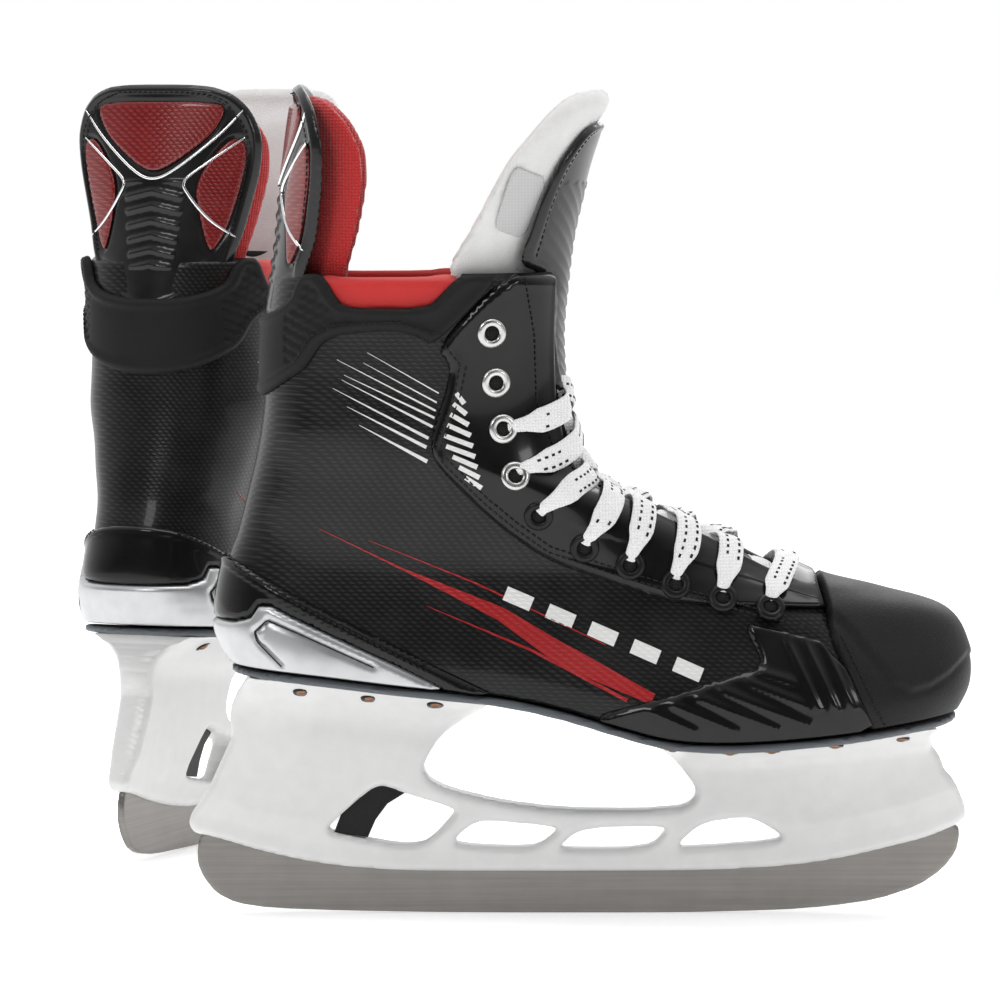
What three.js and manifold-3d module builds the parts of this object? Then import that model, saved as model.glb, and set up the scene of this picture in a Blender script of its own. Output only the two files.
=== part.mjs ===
// A pair of ice hockey skates, in millimetres, +Z up. The right skate stands at the origin with its toe
// along +X and its outer side along -Y; the left skate is its mirror image, turned and set behind it.
// Every shell of the boot is an offset of one last (the foot-shaped form that a boot is built on), cut by
// prisms drawn in side view.
import * as THREE from "three";
import { mergeVertices } from "three/addons/utils/BufferGeometryUtils.js";
import Module from "manifold-3d";

const wasm = await Module();
wasm.setup();

// ---- Driving dimensions -------------------------------------------------------------------------
const CLEARANCE = 0.3; // running gap between pieces that touch
const QUARTER_WALL = 2.5; // composite shell of the boot
const LINING_WALL = 2.6;
const OVERLAY_WALL = 2.2; // stitched-on panels: eyestay, ankle collar, heel band, forefoot overlay
const TONGUE_WALL = 6.5;
const TONGUE_DEPTH = 6.2; // the tongue lies this far inside the last, with room for the lace above it
const THROAT_HALF = 22; // half the gap between the two eyestays
const THROAT_FRONT = 79; // where the throat ends, towards the toe
const SOLE_WALL = 3; // outsole plate
const BOARD_WALL = 2.2; // insole board
const FOOTBED_WALL = 4;
const FOOTBED_INSET = 1; // the footbed's edge lies this far inside the insole board's
const TOP_LINE = 248.6; // height of the boot's top edge
const RUNNER_WALL = 3; // thickness of the steel
const SLOT_CLEARANCE = 0.3; // on each side of the steel in its slot
const TRIGGER_WALL = 6;
const PIN_RADIUS = 1.5;
const LACE_WIDTH = 8.5;
const LACE_WALL = 1.6;
const LACED_EYELETS = 8; // rows counted from the toe that hold the lace
const LEFT_TURN = 67.5; // degrees that the left skate's toe is turned from +X
const LEFT_PLACE = [-129, 257]; // where the left skate's own origin stands

// ---- Colours ------------------------------------------------------------------------------------
const finish = (color, roughness, metalness = 0) => new THREE.MeshStandardMaterial({ color, roughness, metalness });
const steel = finish(0x9a958c, 0.35, 1);
const whitePlastic = finish(0xf2f1ee, 0.35);
const blackPlastic = finish(0x1b1b1c, 0.45);
const glossBlack = finish(0x0b0b0c, 0.2);
const shellWeave = finish(0x2c2c2d, 0.4);
const softBlack = finish(0x232324, 0.7);
const silver = finish(0xe4e5e6, 0.3, 0.2);
const greySole = finish(0x4c5257, 0.6);
const redFoam = finish(0xc3201f, 0.6);
const redKnit = finish(0xb01c1d, 0.9);
const whiteFelt = finish(0xf0eeec, 0.95);
const whiteLace = finish(0xf4f4f4, 0.85);

// ---- Small geometry helpers ---------------------------------------------------------------------
const { cos, PI, min, max, hypot } = Math;
const mix = (a, b, t) => a + (b - a) * t;
const clamp01 = (t) => min(1, max(0, t));

// A smooth curve through knots [[x, y], ...], as a function of x, held level past its ends.
function smoothCurve(knots) {
  const slope = knots.map((_, i) => {
    const a = knots[max(0, i - 1)];
    const b = knots[min(knots.length - 1, i + 1)];
    return (b[1] - a[1]) / (b[0] - a[0]);
  });
  return (x) => {
    const c = min(max(x, knots[0][0]), knots[knots.length - 1][0]);
    let i = 0;
    while (i < knots.length - 2 && c > knots[i + 1][0]) i++;
    const [x0, y0] = knots[i];
    const [x1, y1] = knots[i + 1];
    const w = x1 - x0;
    const t = (c - x0) / w;
    const t2 = t * t;
    const t3 = t2 * t;
    return (2 * t3 - 3 * t2 + 1) * y0 + (t3 - 2 * t2 + t) * w * slope[i]
      + (3 * t2 - 2 * t3) * y1 + (t3 - t2) * w * slope[i + 1];
  };
}

// A three.js geometry as a manifold-3d solid.
function solidOf(geometry) {
  const bare = geometry.clone();
  bare.deleteAttribute("normal");
  bare.deleteAttribute("uv");
  const merged = mergeVertices(bare, 1e-4);
  return new wasm.Manifold(new wasm.Mesh({
    numProp: 3,
    vertProperties: merged.attributes.position.array,
    triVerts: new Uint32Array(merged.index.array),
  }));
}

// A named mesh from a solid.
function meshOf(name, solid, material) {
  const m = solid.getMesh();
  const geometry = new THREE.BufferGeometry();
  geometry.setAttribute("position", new THREE.BufferAttribute(new Float32Array(m.vertProperties), 3));
  geometry.setIndex(new THREE.BufferAttribute(new Uint32Array(m.triVerts), 1));
  geometry.computeVertexNormals();
  const mesh = new THREE.Mesh(geometry, material);
  mesh.name = name;
  return mesh;
}

// A closed solid through rings of points [x, y, z], all of one length, capped at both ends. A cap is a fan
// about its middle, or for a crescent a strip between its two long edges.
function loft(rings, crescent = false) {
  const n = rings[0].length;
  const points = rings.flat();
  const faces = [];
  for (let r = 0; r + 1 < rings.length; r++) {
    for (let i = 0; i < n; i++) {
      const a = r * n + i;
      const b = r * n + (i + 1) % n;
      faces.push(a, b, b + n, a, b + n, a + n);
    }
  }
  const cap = (ring, first, turn) => {
    if (crescent) {
      for (let i = 0; i + 1 < n / 2; i++) {
        const [a, b, c, d] = [i, i + 1, n - 2 - i, n - 1 - i].map((k) => first + k);
        faces.push(...(turn ? [a, c, b, a, d, c] : [a, b, c, a, c, d]));
      }
      return;
    }
    const centre = points.length;
    points.push([0, 1, 2].map((k) => ring.reduce((sum, p) => sum + p[k], 0) / n));
    for (let i = 0; i < n; i++) {
      const pair = [first + i, first + (i + 1) % n];
      faces.push(centre, ...(turn ? pair.reverse() : pair));
    }
  };
  cap(rings[0], 0, true);
  cap(rings[rings.length - 1], (rings.length - 1) * n, false);
  const geometry = new THREE.BufferGeometry();
  geometry.setAttribute("position", new THREE.BufferAttribute(new Float32Array(points.flat()), 3));
  geometry.setIndex(faces);
  const made = solidOf(geometry);
  if (made.volume() > 0) return made;
  geometry.setIndex(faces.reverse());
  return solidOf(geometry);
}

// A prism drawn in side view as [x, z] points, from y = low to y = high.
function sidePrism(outline, low, high) {
  const shape = new THREE.Shape(outline.map(([x, z]) => new THREE.Vector2(x, z)));
  const geometry = new THREE.ExtrudeGeometry(shape, { depth: high - low, bevelEnabled: false });
  geometry.rotateX(PI / 2);
  geometry.translate(0, high, 0);
  return solidOf(geometry);
}

// A prism drawn in plan as [x, y] points, from z = low to z = high.
function planPrism(outline, low, high) {
  const shape = new THREE.Shape(outline.map(([x, y]) => new THREE.Vector2(x, y)));
  const geometry = new THREE.ExtrudeGeometry(shape, { depth: high - low, bevelEnabled: false });
  geometry.translate(0, 0, low);
  return solidOf(geometry);
}

// A cylinder along Y through [x, z].
function crossPin(x, z, radius, length, sides = 12) {
  const geometry = new THREE.CylinderGeometry(radius, radius, length, sides);
  geometry.translate(x, 0, z);
  return solidOf(geometry);
}

const union = (...solids) => solids.reduce((a, b) => a.add(b));

// ---- The last -----------------------------------------------------------------------------------
// The top face of the sole in side view, heel to toe.
const soleTop = smoothCurve([
  [-140, 98], [-107, 95.6], [-68, 91], [-30, 87.3], [-7, 82.8], [16, 76.5], [32, 72.6], [47, 71.3],
  [70, 71.8], [100, 74.2], [124, 76.8], [150, 79.5],
]);
// Half the boot's width near the sole, heel to toe.
const ballWidth = smoothCurve([
  [-140, 31], [-100, 33], [-60, 34], [-20, 38], [20, 46], [55, 50.5], [85, 49.5], [110, 47], [150, 44],
]);
// Level curves from the sole's edge (0) to the top line (11). Each runs from the heel's back round both
// sides to the centre line of the toe, the instep or the shin, and closes in a round cap at each end.
const LEVELS = [
  { heel: [-131, 97.8], front: [143.5, 79], heelCap: 33, frontCap: 60, full: 1, shaft: 36, share: 0 },
  { heel: [-136.5, 108], front: [149, 91], heelCap: 34, frontCap: 62, full: 1.01, shaft: 36, share: 0 },
  { heel: [-137.8, 121], front: [148, 104], heelCap: 34, frontCap: 70, full: 0.93, shaft: 36, share: 0.1 },
  { heel: [-134.8, 137], front: [140, 116.5], heelCap: 34, frontCap: 85, full: 0.8, shaft: 36, share: 0.3 },
  { heel: [-130.6, 149], front: [117, 123.5], heelCap: 33, frontCap: 98, full: 0.7, shaft: 36, share: 0.5 },
  { heel: [-127.4, 162], front: [93, 129.5], heelCap: 33, frontCap: 105, full: 0.62, shaft: 37, share: 0.7 },
  { heel: [-124, 176], front: [66, 142], heelCap: 33, frontCap: 98, full: 0.56, shaft: 37.5, share: 0.85 },
  { heel: [-121.6, 190], front: [34, 155], heelCap: 34, frontCap: 82, full: 0.54, shaft: 38, share: 1 },
  { heel: [-120.3, 203], front: [9, 166.5], heelCap: 35, frontCap: 64, full: 0.54, shaft: 38.5, share: 1 },
  { heel: [-120, 217], front: [-2, 189], heelCap: 35, frontCap: 52, full: 0.54, shaft: 38, share: 1 },
  { heel: [-119, 232], front: [-5.5, 216], heelCap: 36, frontCap: 46, full: 0.54, shaft: 39, share: 1 },
  { heel: [-116.8, TOP_LINE], front: [-6, TOP_LINE], heelCap: 37, frontCap: 44, full: 0.54, shaft: 42, share: 1 },
];
const TOP_LEVEL = LEVELS.length - 1;
const CAP_POWER = 2.2; // roundness of the end caps: 2 is an ellipse, more is squarer
const SLOPE_REACH = 0.25; // levels on each side over which a centre line's slope is taken
const CAP_GROWTH = 0.5; // share of an offset that lengthens the end caps
const FLAT_LEVELS = 5; // levels below this follow the sole's curve
const levelCurve = (pick) => smoothCurve(LEVELS.map((level, i) => [i, pick(level)]));
const heelX = levelCurve((l) => l.heel[0]);
const heelZ = levelCurve((l) => l.heel[1]);
const frontX = levelCurve((l) => l.front[0]);
const frontZ = levelCurve((l) => l.front[1]);
const heelCap = levelCurve((l) => l.heelCap);
const frontCap = levelCurve((l) => l.frontCap);
const fullness = levelCurve((l) => l.full);
const shaftHalf = levelCurve((l) => l.shaft);
const shaftShare = levelCurve((l) => l.share);
const HEEL_STATIONS = 0.28; // share of a level curve's stations that lies on the heel cap
const FRONT_STATIONS = 0.6; // from here on the stations lie on the front cap

// The outward normal, in side view, of the centre line (x(level), z(level)).
function normalOf(xOf, zOf, level, side) {
  const a = max(0, level - SLOPE_REACH);
  const b = min(TOP_LEVEL, level + SLOPE_REACH);
  const dx = xOf(b) - xOf(a);
  const dz = zOf(b) - zOf(a);
  const length = hypot(dx, dz);
  return [(side * dz) / length, (-side * dx) / length];
}

const cap = (q) => (1 - (1 - clamp01(q)) ** CAP_POWER) ** (1 / CAP_POWER);

// A point of the last, moved outwards by offset. station runs from 0 at the heel's back to 1 at the
// front centre line, and side is -1 for the outer side and 1 for the inner one.
function lastPoint(level, station, side, offset = 0) {
  const backN = normalOf(heelX, heelZ, level, -1);
  const frontN = normalOf(frontX, frontZ, level, 1);
  const x0 = heelX(level) + offset * backN[0];
  const z0 = heelZ(level) + offset * backN[1];
  const x1 = frontX(level) + offset * frontN[0];
  const z1 = frontZ(level) + offset * frontN[1];
  const back = heelCap(level) + offset * CAP_GROWTH;
  const front = frontCap(level) + offset * CAP_GROWTH;
  let x;
  if (station < HEEL_STATIONS) x = x0 + back * (1 - cos((station / HEEL_STATIONS) * PI / 2));
  else if (station > FRONT_STATIONS) {
    x = x1 - front * (1 - cos(((1 - station) / (1 - FRONT_STATIONS)) * PI / 2));
  } else {
    x = mix(x0 + back, x1 - front, (station - HEEL_STATIONS) / (FRONT_STATIONS - HEEL_STATIONS));
  }
  const share = (x - x0) / (x1 - x0);
  const half = mix(ballWidth(x) * fullness(level), shaftHalf(level), shaftShare(level)) + offset;
  const y = half * cap((x - x0) / back) * cap((x1 - x) / front);
  const low = clamp01(1 - level / FLAT_LEVELS);
  const straight = mix(z0, z1, share);
  const followed = soleTop(x) + mix(z0 - soleTop(x0), z1 - soleTop(x1), share);
  return [x, side * y, mix(straight, followed, low)];
}

const SIDE_STEPS = 11; // facets along each side of a level curve
const RING_LEVELS = [0, 1, 2, 3, 5, 7, 8, 9, TOP_LEVEL]; // levels that the solids are lofted through

function lastRing(level, offset) {
  const ring = [];
  for (let i = 0; i <= SIDE_STEPS; i++) ring.push(lastPoint(level, i / SIDE_STEPS, -1, offset));
  for (let i = SIDE_STEPS - 1; i > 0; i--) ring.push(lastPoint(level, i / SIDE_STEPS, 1, offset));
  return ring;
}

// The last as a solid, moved outwards by offset and lengthened straight down and up by the reaches.
function lastSolid(offset, down, up) {
  const rings = RING_LEVELS.map((level) => lastRing(level, offset));
  rings.unshift(rings[0].map(([x, y, z]) => [x, y, z - down]));
  rings.push(rings[rings.length - 1].map(([x, y, z]) => [x, y, z + up]));
  return loft(rings);
}

const FAR = 200; // past the boot on every side
const SOLE_STEP = 20; // longest facet along the sole
const SOLE_ENDS = [-150, 160]; // x, past the boot's heel and toe
const soleSamples = (from, to) => {
  const count = Math.ceil((to - from) / SOLE_STEP);
  return Array.from({ length: count + 1 }, (_, i) => mix(from, to, i / count));
};
const SKIRT = 6; // the walls are made this much too deep and high, and cut to the sole and the top line
const CUT_REACH = 12; // and hollowed through this far past both
// The wall between two offsets of the last, from the sole's top face to the top line.
function shell(outer, inner) {
  const wall = lastSolid(outer, SKIRT, SKIRT).subtract(lastSolid(inner, CUT_REACH, CUT_REACH));
  const seat = soleSamples(...SOLE_ENDS).map((x) => [x, soleTop(x)]);
  return wall.intersect(sidePrism([...seat, [SOLE_ENDS[1], TOP_LINE], [SOLE_ENDS[0], TOP_LINE]], -FAR, FAR));
}

// The level whose curve passes through [x, z] in side view, found by searching ever closer.
function levelAt(x, z) {
  const rounds = 9;
  const steps = 8;
  const narrowing = 2.4;
  let best = { level: TOP_LEVEL / 2, station: 0.5, away: Infinity };
  let [levelSpan, stationSpan] = [TOP_LEVEL / 2, 0.5];
  for (let round = 0; round < rounds; round++) {
    const centre = best;
    for (let i = -steps; i <= steps; i++) {
      for (let j = -steps; j <= steps; j++) {
        const level = min(TOP_LEVEL, max(0, centre.level + (i / steps) * levelSpan));
        const station = clamp01(centre.station + (j / steps) * stationSpan);
        const p = lastPoint(level, station, -1);
        const away = (p[0] - x) ** 2 + (p[2] - z) ** 2;
        if (away < best.away) best = { level, station, away };
      }
    }
    levelSpan /= narrowing;
    stationSpan /= narrowing;
  }
  return best.level;
}

// ---- Side-view outlines of the boot's panels ----------------------------------------------------
const toeSeam = [[89.6, 140], [97.3, 109.7], [116.5, 70]]; // back edge of the toe cap, top to sole
const heelSeam = [[-145, 142], [-134.7, 139.8], [-107, 125.2], [-76.2, 109.8], [-45.4, 93.6], [-22.3, 84]];
const cupSeam = [[-145, 115.1], [-126.7, 115.9], [-121.3, 124], [-107, 116.7], [-60.8, 95.1], [-41.6, 86]];
const collarTop = [
  [-126, 229.9], [-110.9, 236.8], [-107.8, 246], [-105.1, TOP_LINE], [-98.5, TOP_LINE], [-93.5, 239.9],
  [-88.9, 235.6], [-57, 235.6], [-51.2, 240.7], [-43.5, TOP_LINE], [-26.9, TOP_LINE],
];
const collarFront = [-54.3, 221]; // where the collar's lower edge meets the eyestay
const collarBottom = [
  collarFront, [-58.9, 224.1], [-68.5, 227.2], [-91.6, 226], [-99.3, 222.2], [-105.1, 212.9],
  [-110.9, 209.1], [-126, 199],
];
const eyestaySeam = [
  [97.3, 109.7], [91.2, 111.7], [70.1, 116.3], [54.7, 120.5], [39.3, 124.4], [8.5, 133.6], [-12.7, 140.6],
  [-26.2, 150.2], [-37.7, 159.8], [-53.1, 175.2], [-57, 182.9], [-49.3, 204.1], [-47.4, 213.7],
];
const overlaySeam = [[4.6, 79.7], [23.9, 85.9], [54.7, 96.3], [68.2, 100.1], [69.3, 104], [62.4, 116.7]];
const EYELETS = [ // centres in side view, toe to top
  [72.4, 122.5], [54.3, 125.9], [36.6, 130.9], [19.3, 137.9], [2, 144.4], [-15.4, 156.7], [-24.2, 172.1],
  [-28.8, 189.8], [-31.5, 207.2], [-33.1, 226],
];

// A prism right through the boot, or through one side of it, clear of the heel's centre line.
const bothSides = (outline) => sidePrism(outline, -FAR, FAR);
function oneSide(outline, side) {
  const gap = CLEARANCE / 2;
  return side < 0 ? sidePrism(outline, -FAR, -gap) : sidePrism(outline, gap, FAR);
}

// The corridor between the two eyestays.
function throat() {
  return sidePrism(
    [[THROAT_FRONT, 110], [THROAT_FRONT, 300], [-80, 300], [-40, 175], [0, 130]],
    -THROAT_HALF, THROAT_HALF,
  );
}

// A polyline moved along x or along z, to leave a seam's gap.
const shifted = (line, dx) => line.map(([x, z]) => [x + dx, z]);
const raised = (line, dz) => line.map(([x, z]) => [x, z + dz]);

// ---- Boot ---------------------------------------------------------------------------------------
function bootPieces() {
  const pieces = {};
  const wall = shell(0, -QUARTER_WALL);
  const behindToe = [[-FAR, 60], ...shifted(toeSeam, -CLEARANCE).reverse(), [89.6, 300], [-FAR, 300]];
  const topGap = sidePrism(
    [[-98.8, 300], [-98.8, 247], [-93.8, 239.6], [-89.2, 235.3], [-56.7, 235.3], [-50.9, 240.4],
      [-43.2, 247], [-43.2, 300]],
    -FAR, FAR,
  );
  const quarter = wall.subtract(throat()).subtract(topGap);
  pieces.quarter_outer = [quarter.intersect(oneSide(behindToe, -1)), shellWeave];
  pieces.quarter_inner = [quarter.intersect(oneSide(behindToe, 1)), shellWeave];

  const toeOutline = [...toeSeam, [FAR, 70], [FAR, 140]];
  pieces.toe_cap = [shell(OVERLAY_WALL, -QUARTER_WALL).intersect(bothSides(toeOutline)), softBlack];

  const overlay = shell(OVERLAY_WALL + CLEARANCE, CLEARANCE);
  const cupOutline = [...raised(cupSeam, -CLEARANCE), [-41.6, 60], [-145, 60]];
  pieces.heel_cup = [overlay.intersect(bothSides(cupOutline)), silver];
  const bandOutline = [...heelSeam, [-41.6, 84], ...cupSeam.toReversed()];
  pieces.heel_band = [overlay.intersect(bothSides(bandOutline)), glossBlack];
  const collarOutline = [...collarTop, ...collarBottom];
  pieces.ankle_collar = [overlay.intersect(bothSides(collarOutline)), softBlack];

  const eyestayOutline = [
    [-26.5 + CLEARANCE, TOP_LINE], [0, TOP_LINE + 5], [40, 200], [110, 150],
    ...shifted(toeSeam.slice(0, 1), -CLEARANCE), ...shifted(eyestaySeam, -CLEARANCE),
    [collarFront[0] + 2 * CLEARANCE, collarFront[1]],
  ];
  const eyestay = overlay.subtract(throat());
  pieces.eyestay_outer = [eyestay.intersect(oneSide(eyestayOutline, -1)), glossBlack];
  pieces.eyestay_inner = [eyestay.intersect(oneSide(eyestayOutline, 1)), glossBlack];

  const forefoot = [
    ...overlaySeam, ...raised(eyestaySeam.slice(1, 3).reverse(), -2 * CLEARANCE),
    ...shifted(toeSeam.slice(1), -2 * CLEARANCE), [4.6, 60],
  ];
  pieces.forefoot_overlay_outer = [overlay.intersect(oneSide(forefoot, -1)), glossBlack];
  pieces.forefoot_overlay_inner = [overlay.intersect(oneSide(forefoot, 1)), glossBlack];

  const liningOuter = -(QUARTER_WALL + CLEARANCE);
  const liningInner = liningOuter - LINING_WALL;
  const liningOutline = [
    [-FAR, 60], [40, 60], [40, 116], [-20, 122], [-60, 170], [-64, 235], [-FAR, 235],
  ];
  pieces.lining = [shell(liningOuter, liningInner).intersect(bothSides(liningOutline)), redKnit];
  const rollOutline = [
    [-98.5, TOP_LINE], [-93.5, 239.9], [-88.9, 235.6], [-57, 235.6], [-51.2, 240.7], [-43.5, TOP_LINE],
  ];
  const roll = shell(0, liningInner);
  pieces.top_roll_outer = [roll.intersect(oneSide(rollOutline, -1)), redFoam];
  pieces.top_roll_inner = [roll.intersect(oneSide(rollOutline, 1)), redFoam];

  const tongueOuter = -TONGUE_DEPTH;
  const tongueOutline = [
    [78, 128], [60, 112], [20, 118], [-14, 138], [-34, 175], [-40, 205], [-44, TOP_LINE - 0.2],
    [FAR, TOP_LINE - 0.2], [FAR, 128],
  ];
  const tongueWall = shell(tongueOuter, tongueOuter - TONGUE_WALL);
  pieces.tongue_base = [tongueWall.intersect(bothSides(tongueOutline)), softBlack];
  return pieces;
}

// ---- Sole ---------------------------------------------------------------------------------------
const SOLE_SPACE = [40, 140]; // heights that hold the whole sole between them
const planOutline = (level, offset) => lastRing(level, offset).map(([x, y]) => [x, y]);

// A layer of the sole between two heights over the sole's top face, with the last's outline.
function soleLayer(offset, low, high) {
  const xs = soleSamples(...SOLE_ENDS);
  const band = [
    ...xs.map((x) => [x, soleTop(x) + low]), ...xs.toReversed().map((x) => [x, soleTop(x) + high]),
  ];
  return planPrism(planOutline(0, offset), ...SOLE_SPACE).intersect(bothSides(band));
}

function solePieces() {
  const boardEdge = -(QUARTER_WALL + LINING_WALL + 5 * CLEARANCE);
  const bedLow = CLEARANCE + BOARD_WALL + CLEARANCE;
  return {
    outsole: [soleLayer(OVERLAY_WALL, -CLEARANCE - SOLE_WALL, -CLEARANCE), greySole],
    insole_board: [soleLayer(boardEdge, CLEARANCE, CLEARANCE + BOARD_WALL), blackPlastic],
    footbed: [soleLayer(boardEdge - FOOTBED_INSET, bedLow, bedLow + FOOTBED_WALL), redFoam],
  };
}

// ---- Shields: curved sheets that stand above the top line ---------------------------------------
// Rows are { up: height over the top line, mid: x of the centre line, edge: x of the side edges, half:
// half width }.
const SHIELD_STEPS = 8; // facets across a shield
const EDGE_THINNING = 0.35; // share of its thickness along x that a shield loses at its side edges
const EDGE_TUCK = 0.75; // how far its back face draws in there, in thicknesses

function shield(rows, thickness, side) {
  const steps = SHIELD_STEPS;
  const rings = rows.map(({ up, mid, edge, half }) => {
    const line = (inset) => Array.from({ length: steps + 1 }, (_, i) => {
      const q = (2 * i) / steps - 1;
      const bow = q * q;
      const x = mix(mid, edge, bow) + side * inset * (1 - EDGE_THINNING * bow);
      return [x, (half - EDGE_TUCK * inset * bow) * q, TOP_LINE + up];
    });
    return [...line(0), ...line(thickness).reverse()];
  });
  return loft(rings, true);
}

const GUARD_WALL = 3;
const PAD_WALL = 6;
const FELT_WALL = 8;
const COVER_WALL = 2.4;
const GUARD_ROWS = [
  { up: 0.2, mid: -116.8, edge: -106, half: 31 },
  { up: 13.4, mid: -115.8, edge: -101.5, half: 35.5 },
  { up: 27.4, mid: -114.7, edge: -99.3, half: 39.5 },
  { up: 41.4, mid: -112.8, edge: -98.4, half: 42.5 },
  { up: 53.4, mid: -111.3, edge: -99.4, half: 42 },
  { up: 63.4, mid: -109.8, edge: -102, half: 37 },
  { up: 69.4, mid: -108.6, edge: -105, half: 30 },
  { up: 71.4, mid: -108, edge: -106.4, half: 22 },
];
const PAD_ROWS = [
  { up: 0.2, mid: -113, edge: -93, half: 30 },
  { up: 13.4, mid: -112, edge: -89, half: 33.5 },
  { up: 27.4, mid: -111, edge: -86, half: 37 },
  { up: 41.4, mid: -109, edge: -84.5, half: 39.5 },
  { up: 53.4, mid: -107.6, edge: -88, half: 38 },
  { up: 62.4, mid: -106, edge: -95, half: 32 },
  { up: 66.4, mid: -105.2, edge: -99, half: 25 },
];
const FELT_ROWS = [
  { up: 0.1, mid: -9.5, edge: -44, half: 37 },
  { up: 13.4, mid: -5.6, edge: -37.5, half: 40 },
  { up: 26.4, mid: -2.5, edge: -30.5, half: 42.5 },
  { up: 40.4, mid: 1.2, edge: -22.5, half: 43.5 },
  { up: 53.4, mid: 5.5, edge: -12.5, half: 42 },
  { up: 62.4, mid: 11, edge: -5, half: 37 },
  { up: 67.9, mid: 12, edge: 1, half: 29 },
];
const COVER_ROWS = [
  { up: 0.1, mid: -6.2, edge: -25, half: 31 },
  { up: 13.4, mid: -2.3, edge: -19, half: 32 },
  { up: 26.4, mid: 0.8, edge: -14.5, half: 32.5 },
  { up: 40.4, mid: 4.5, edge: -9, half: 32.5 },
  { up: 51.4, mid: 8, edge: -2.5, half: 29 },
  { up: 56.4, mid: 9.6, edge: 1.8, half: 24 },
];

const CUTTER_REACH = 2; // how far a cutter runs past the lower end of what it cuts

// Rows of a cutter that leaves room for a shield: it starts lower, ends higher and is wider.
function cutterRows(rows, widen, forward) {
  const last = rows.length - 1;
  return rows.map((row, i) => ({
    up: row.up + (i === 0 ? -CUTTER_REACH : 0) + (i === last ? CLEARANCE : 0),
    mid: row.mid + forward,
    edge: row.edge,
    half: row.half + widen,
  }));
}

function shieldPieces() {
  const guard = shield(GUARD_ROWS, GUARD_WALL, 1);
  const pad = shield(PAD_ROWS, PAD_WALL, 1)
    .subtract(shield(cutterRows(GUARD_ROWS, 0, 0), GUARD_WALL + CLEARANCE, 1));
  const felt = shield(FELT_ROWS, FELT_WALL, -1);
  const coverSpace = shield(
    cutterRows(COVER_ROWS, CLEARANCE, 2 * CLEARANCE), COVER_WALL + 4 * CLEARANCE, -1,
  );
  return {
    tendon_guard: [guard, glossBlack],
    tendon_pad: [pad, redKnit],
    tongue_felt: [felt.subtract(coverSpace), whiteFelt],
    tongue_cover: [shield(COVER_ROWS, COVER_WALL, -1), glossBlack],
  };
}

// ---- Lace ---------------------------------------------------------------------------------------
// The lace lies on the eyestays and crosses the throat in a straight zigzag, seen from the side.
const LACE_SEAT = OVERLAY_WALL + 2 * CLEARANCE; // offset of the surface that the lace lies on
const FIRST_BAR_DROP = 0.1; // levels that the bar by the toe sinks at the centre line
const PAST_CENTRE = 14; // a run is drawn this far past the boot's centre line, to meet its mirror image

function lacePiece() {
  const band = (from, to) => {
    const length = hypot(to[0] - from[0], to[1] - from[1]);
    const [ux, uz] = [(to[0] - from[0]) / length, (to[1] - from[1]) / length];
    const h = LACE_WIDTH / 2;
    const start = [from[0] - ux * h, from[1] - uz * h];
    const end = [to[0] + ux * PAST_CENTRE, to[1] + uz * PAST_CENTRE];
    return bothSides([
      [start[0] - uz * h, start[1] + ux * h], [end[0] - uz * h, end[1] + ux * h],
      [end[0] + uz * h, end[1] - ux * h], [start[0] + uz * h, start[1] - ux * h],
    ]);
  };
  const levels = EYELETS.slice(0, LACED_EYELETS).map(([x, z]) => levelAt(x, z));
  const onCentre = (level) => [frontX(level), frontZ(level)];
  const runs = [band(EYELETS[0], onCentre(levels[0] - FIRST_BAR_DROP))];
  for (let i = 0; i + 1 < LACED_EYELETS; i++) {
    const crossing = onCentre((levels[i] + levels[i + 1]) / 2);
    runs.push(band(EYELETS[i], crossing), band(EYELETS[i + 1], crossing));
  }
  const skin = shell(LACE_SEAT + LACE_WALL, LACE_SEAT);
  const whole = skin.intersect(union(...runs)).decompose();
  return { lace: [whole.reduce((p, q) => (p.volume() > q.volume() ? p : q)), whiteLace] };
}

// ---- Runner, holder and trigger -----------------------------------------------------------------
// The runner's working edge and ends in side view, from its heel to its toe.
const RUNNER_EDGE = [
  [-145.5, 31], [-147, 25], [-146.8, 19], [-144.4, 13.5], [-139.7, 7.7], [-132, 3.8], [-118.6, 1.8],
  [-88, 0.7], [-35, 0], [35, 0], [78, 1], [97, 2.5], [116, 5.2], [132, 10.6], [141.3, 17.2], [146.3, 24],
  [147.5, 29.8], [147.2, 34],
];
// The holder's lower edge, which the runner's back seats against, heel to toe.
const holderEdge = smoothCurve([
  [-150, 29], [-145.5, 30.6], [-122.4, 24.2], [-99.3, 19.3], [-76.2, 17], [-49.3, 16.2], [8.5, 16.2],
  [47, 16.6], [77.8, 18.1], [100.9, 21.2], [124, 26.6], [135.5, 29.7], [147.2, 34.6], [150, 36],
]);
const RUNNER_SEAT = 5; // how far the steel reaches up into the holder
const RUNNER_TOP = [-138, 140]; // x of the ends of the steel's upper edge
const HOOK_CHAMFER = 2;
const HOOK_FRONT = [125, 134, 43]; // x from, x to, top
const HOOK_REAR = [-140, -131, 45];
const SLOT_ENDS = [-160, 160]; // x, past both ends of the holder
const HOOK_ROOM = 1.6; // fore and aft room for the hooks as the runner swings out

function runnerPiece() {
  const xs = soleSamples(...RUNNER_TOP).reverse();
  const top = xs.map((x) => [x, holderEdge(x) + RUNNER_SEAT]);
  const body = sidePrism([...RUNNER_EDGE, ...top], -RUNNER_WALL / 2, RUNNER_WALL / 2);
  const hook = ([from, to, height]) => sidePrism(
    [[from, holderEdge(from)], [to, holderEdge(to)], [to, height - HOOK_CHAMFER], [to - HOOK_CHAMFER, height],
      [from + HOOK_CHAMFER, height], [from, height - HOOK_CHAMFER]],
    -RUNNER_WALL / 2, RUNNER_WALL / 2,
  );
  return { runner: [union(body, hook(HOOK_FRONT), hook(HOOK_REAR)), steel] };
}

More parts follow.
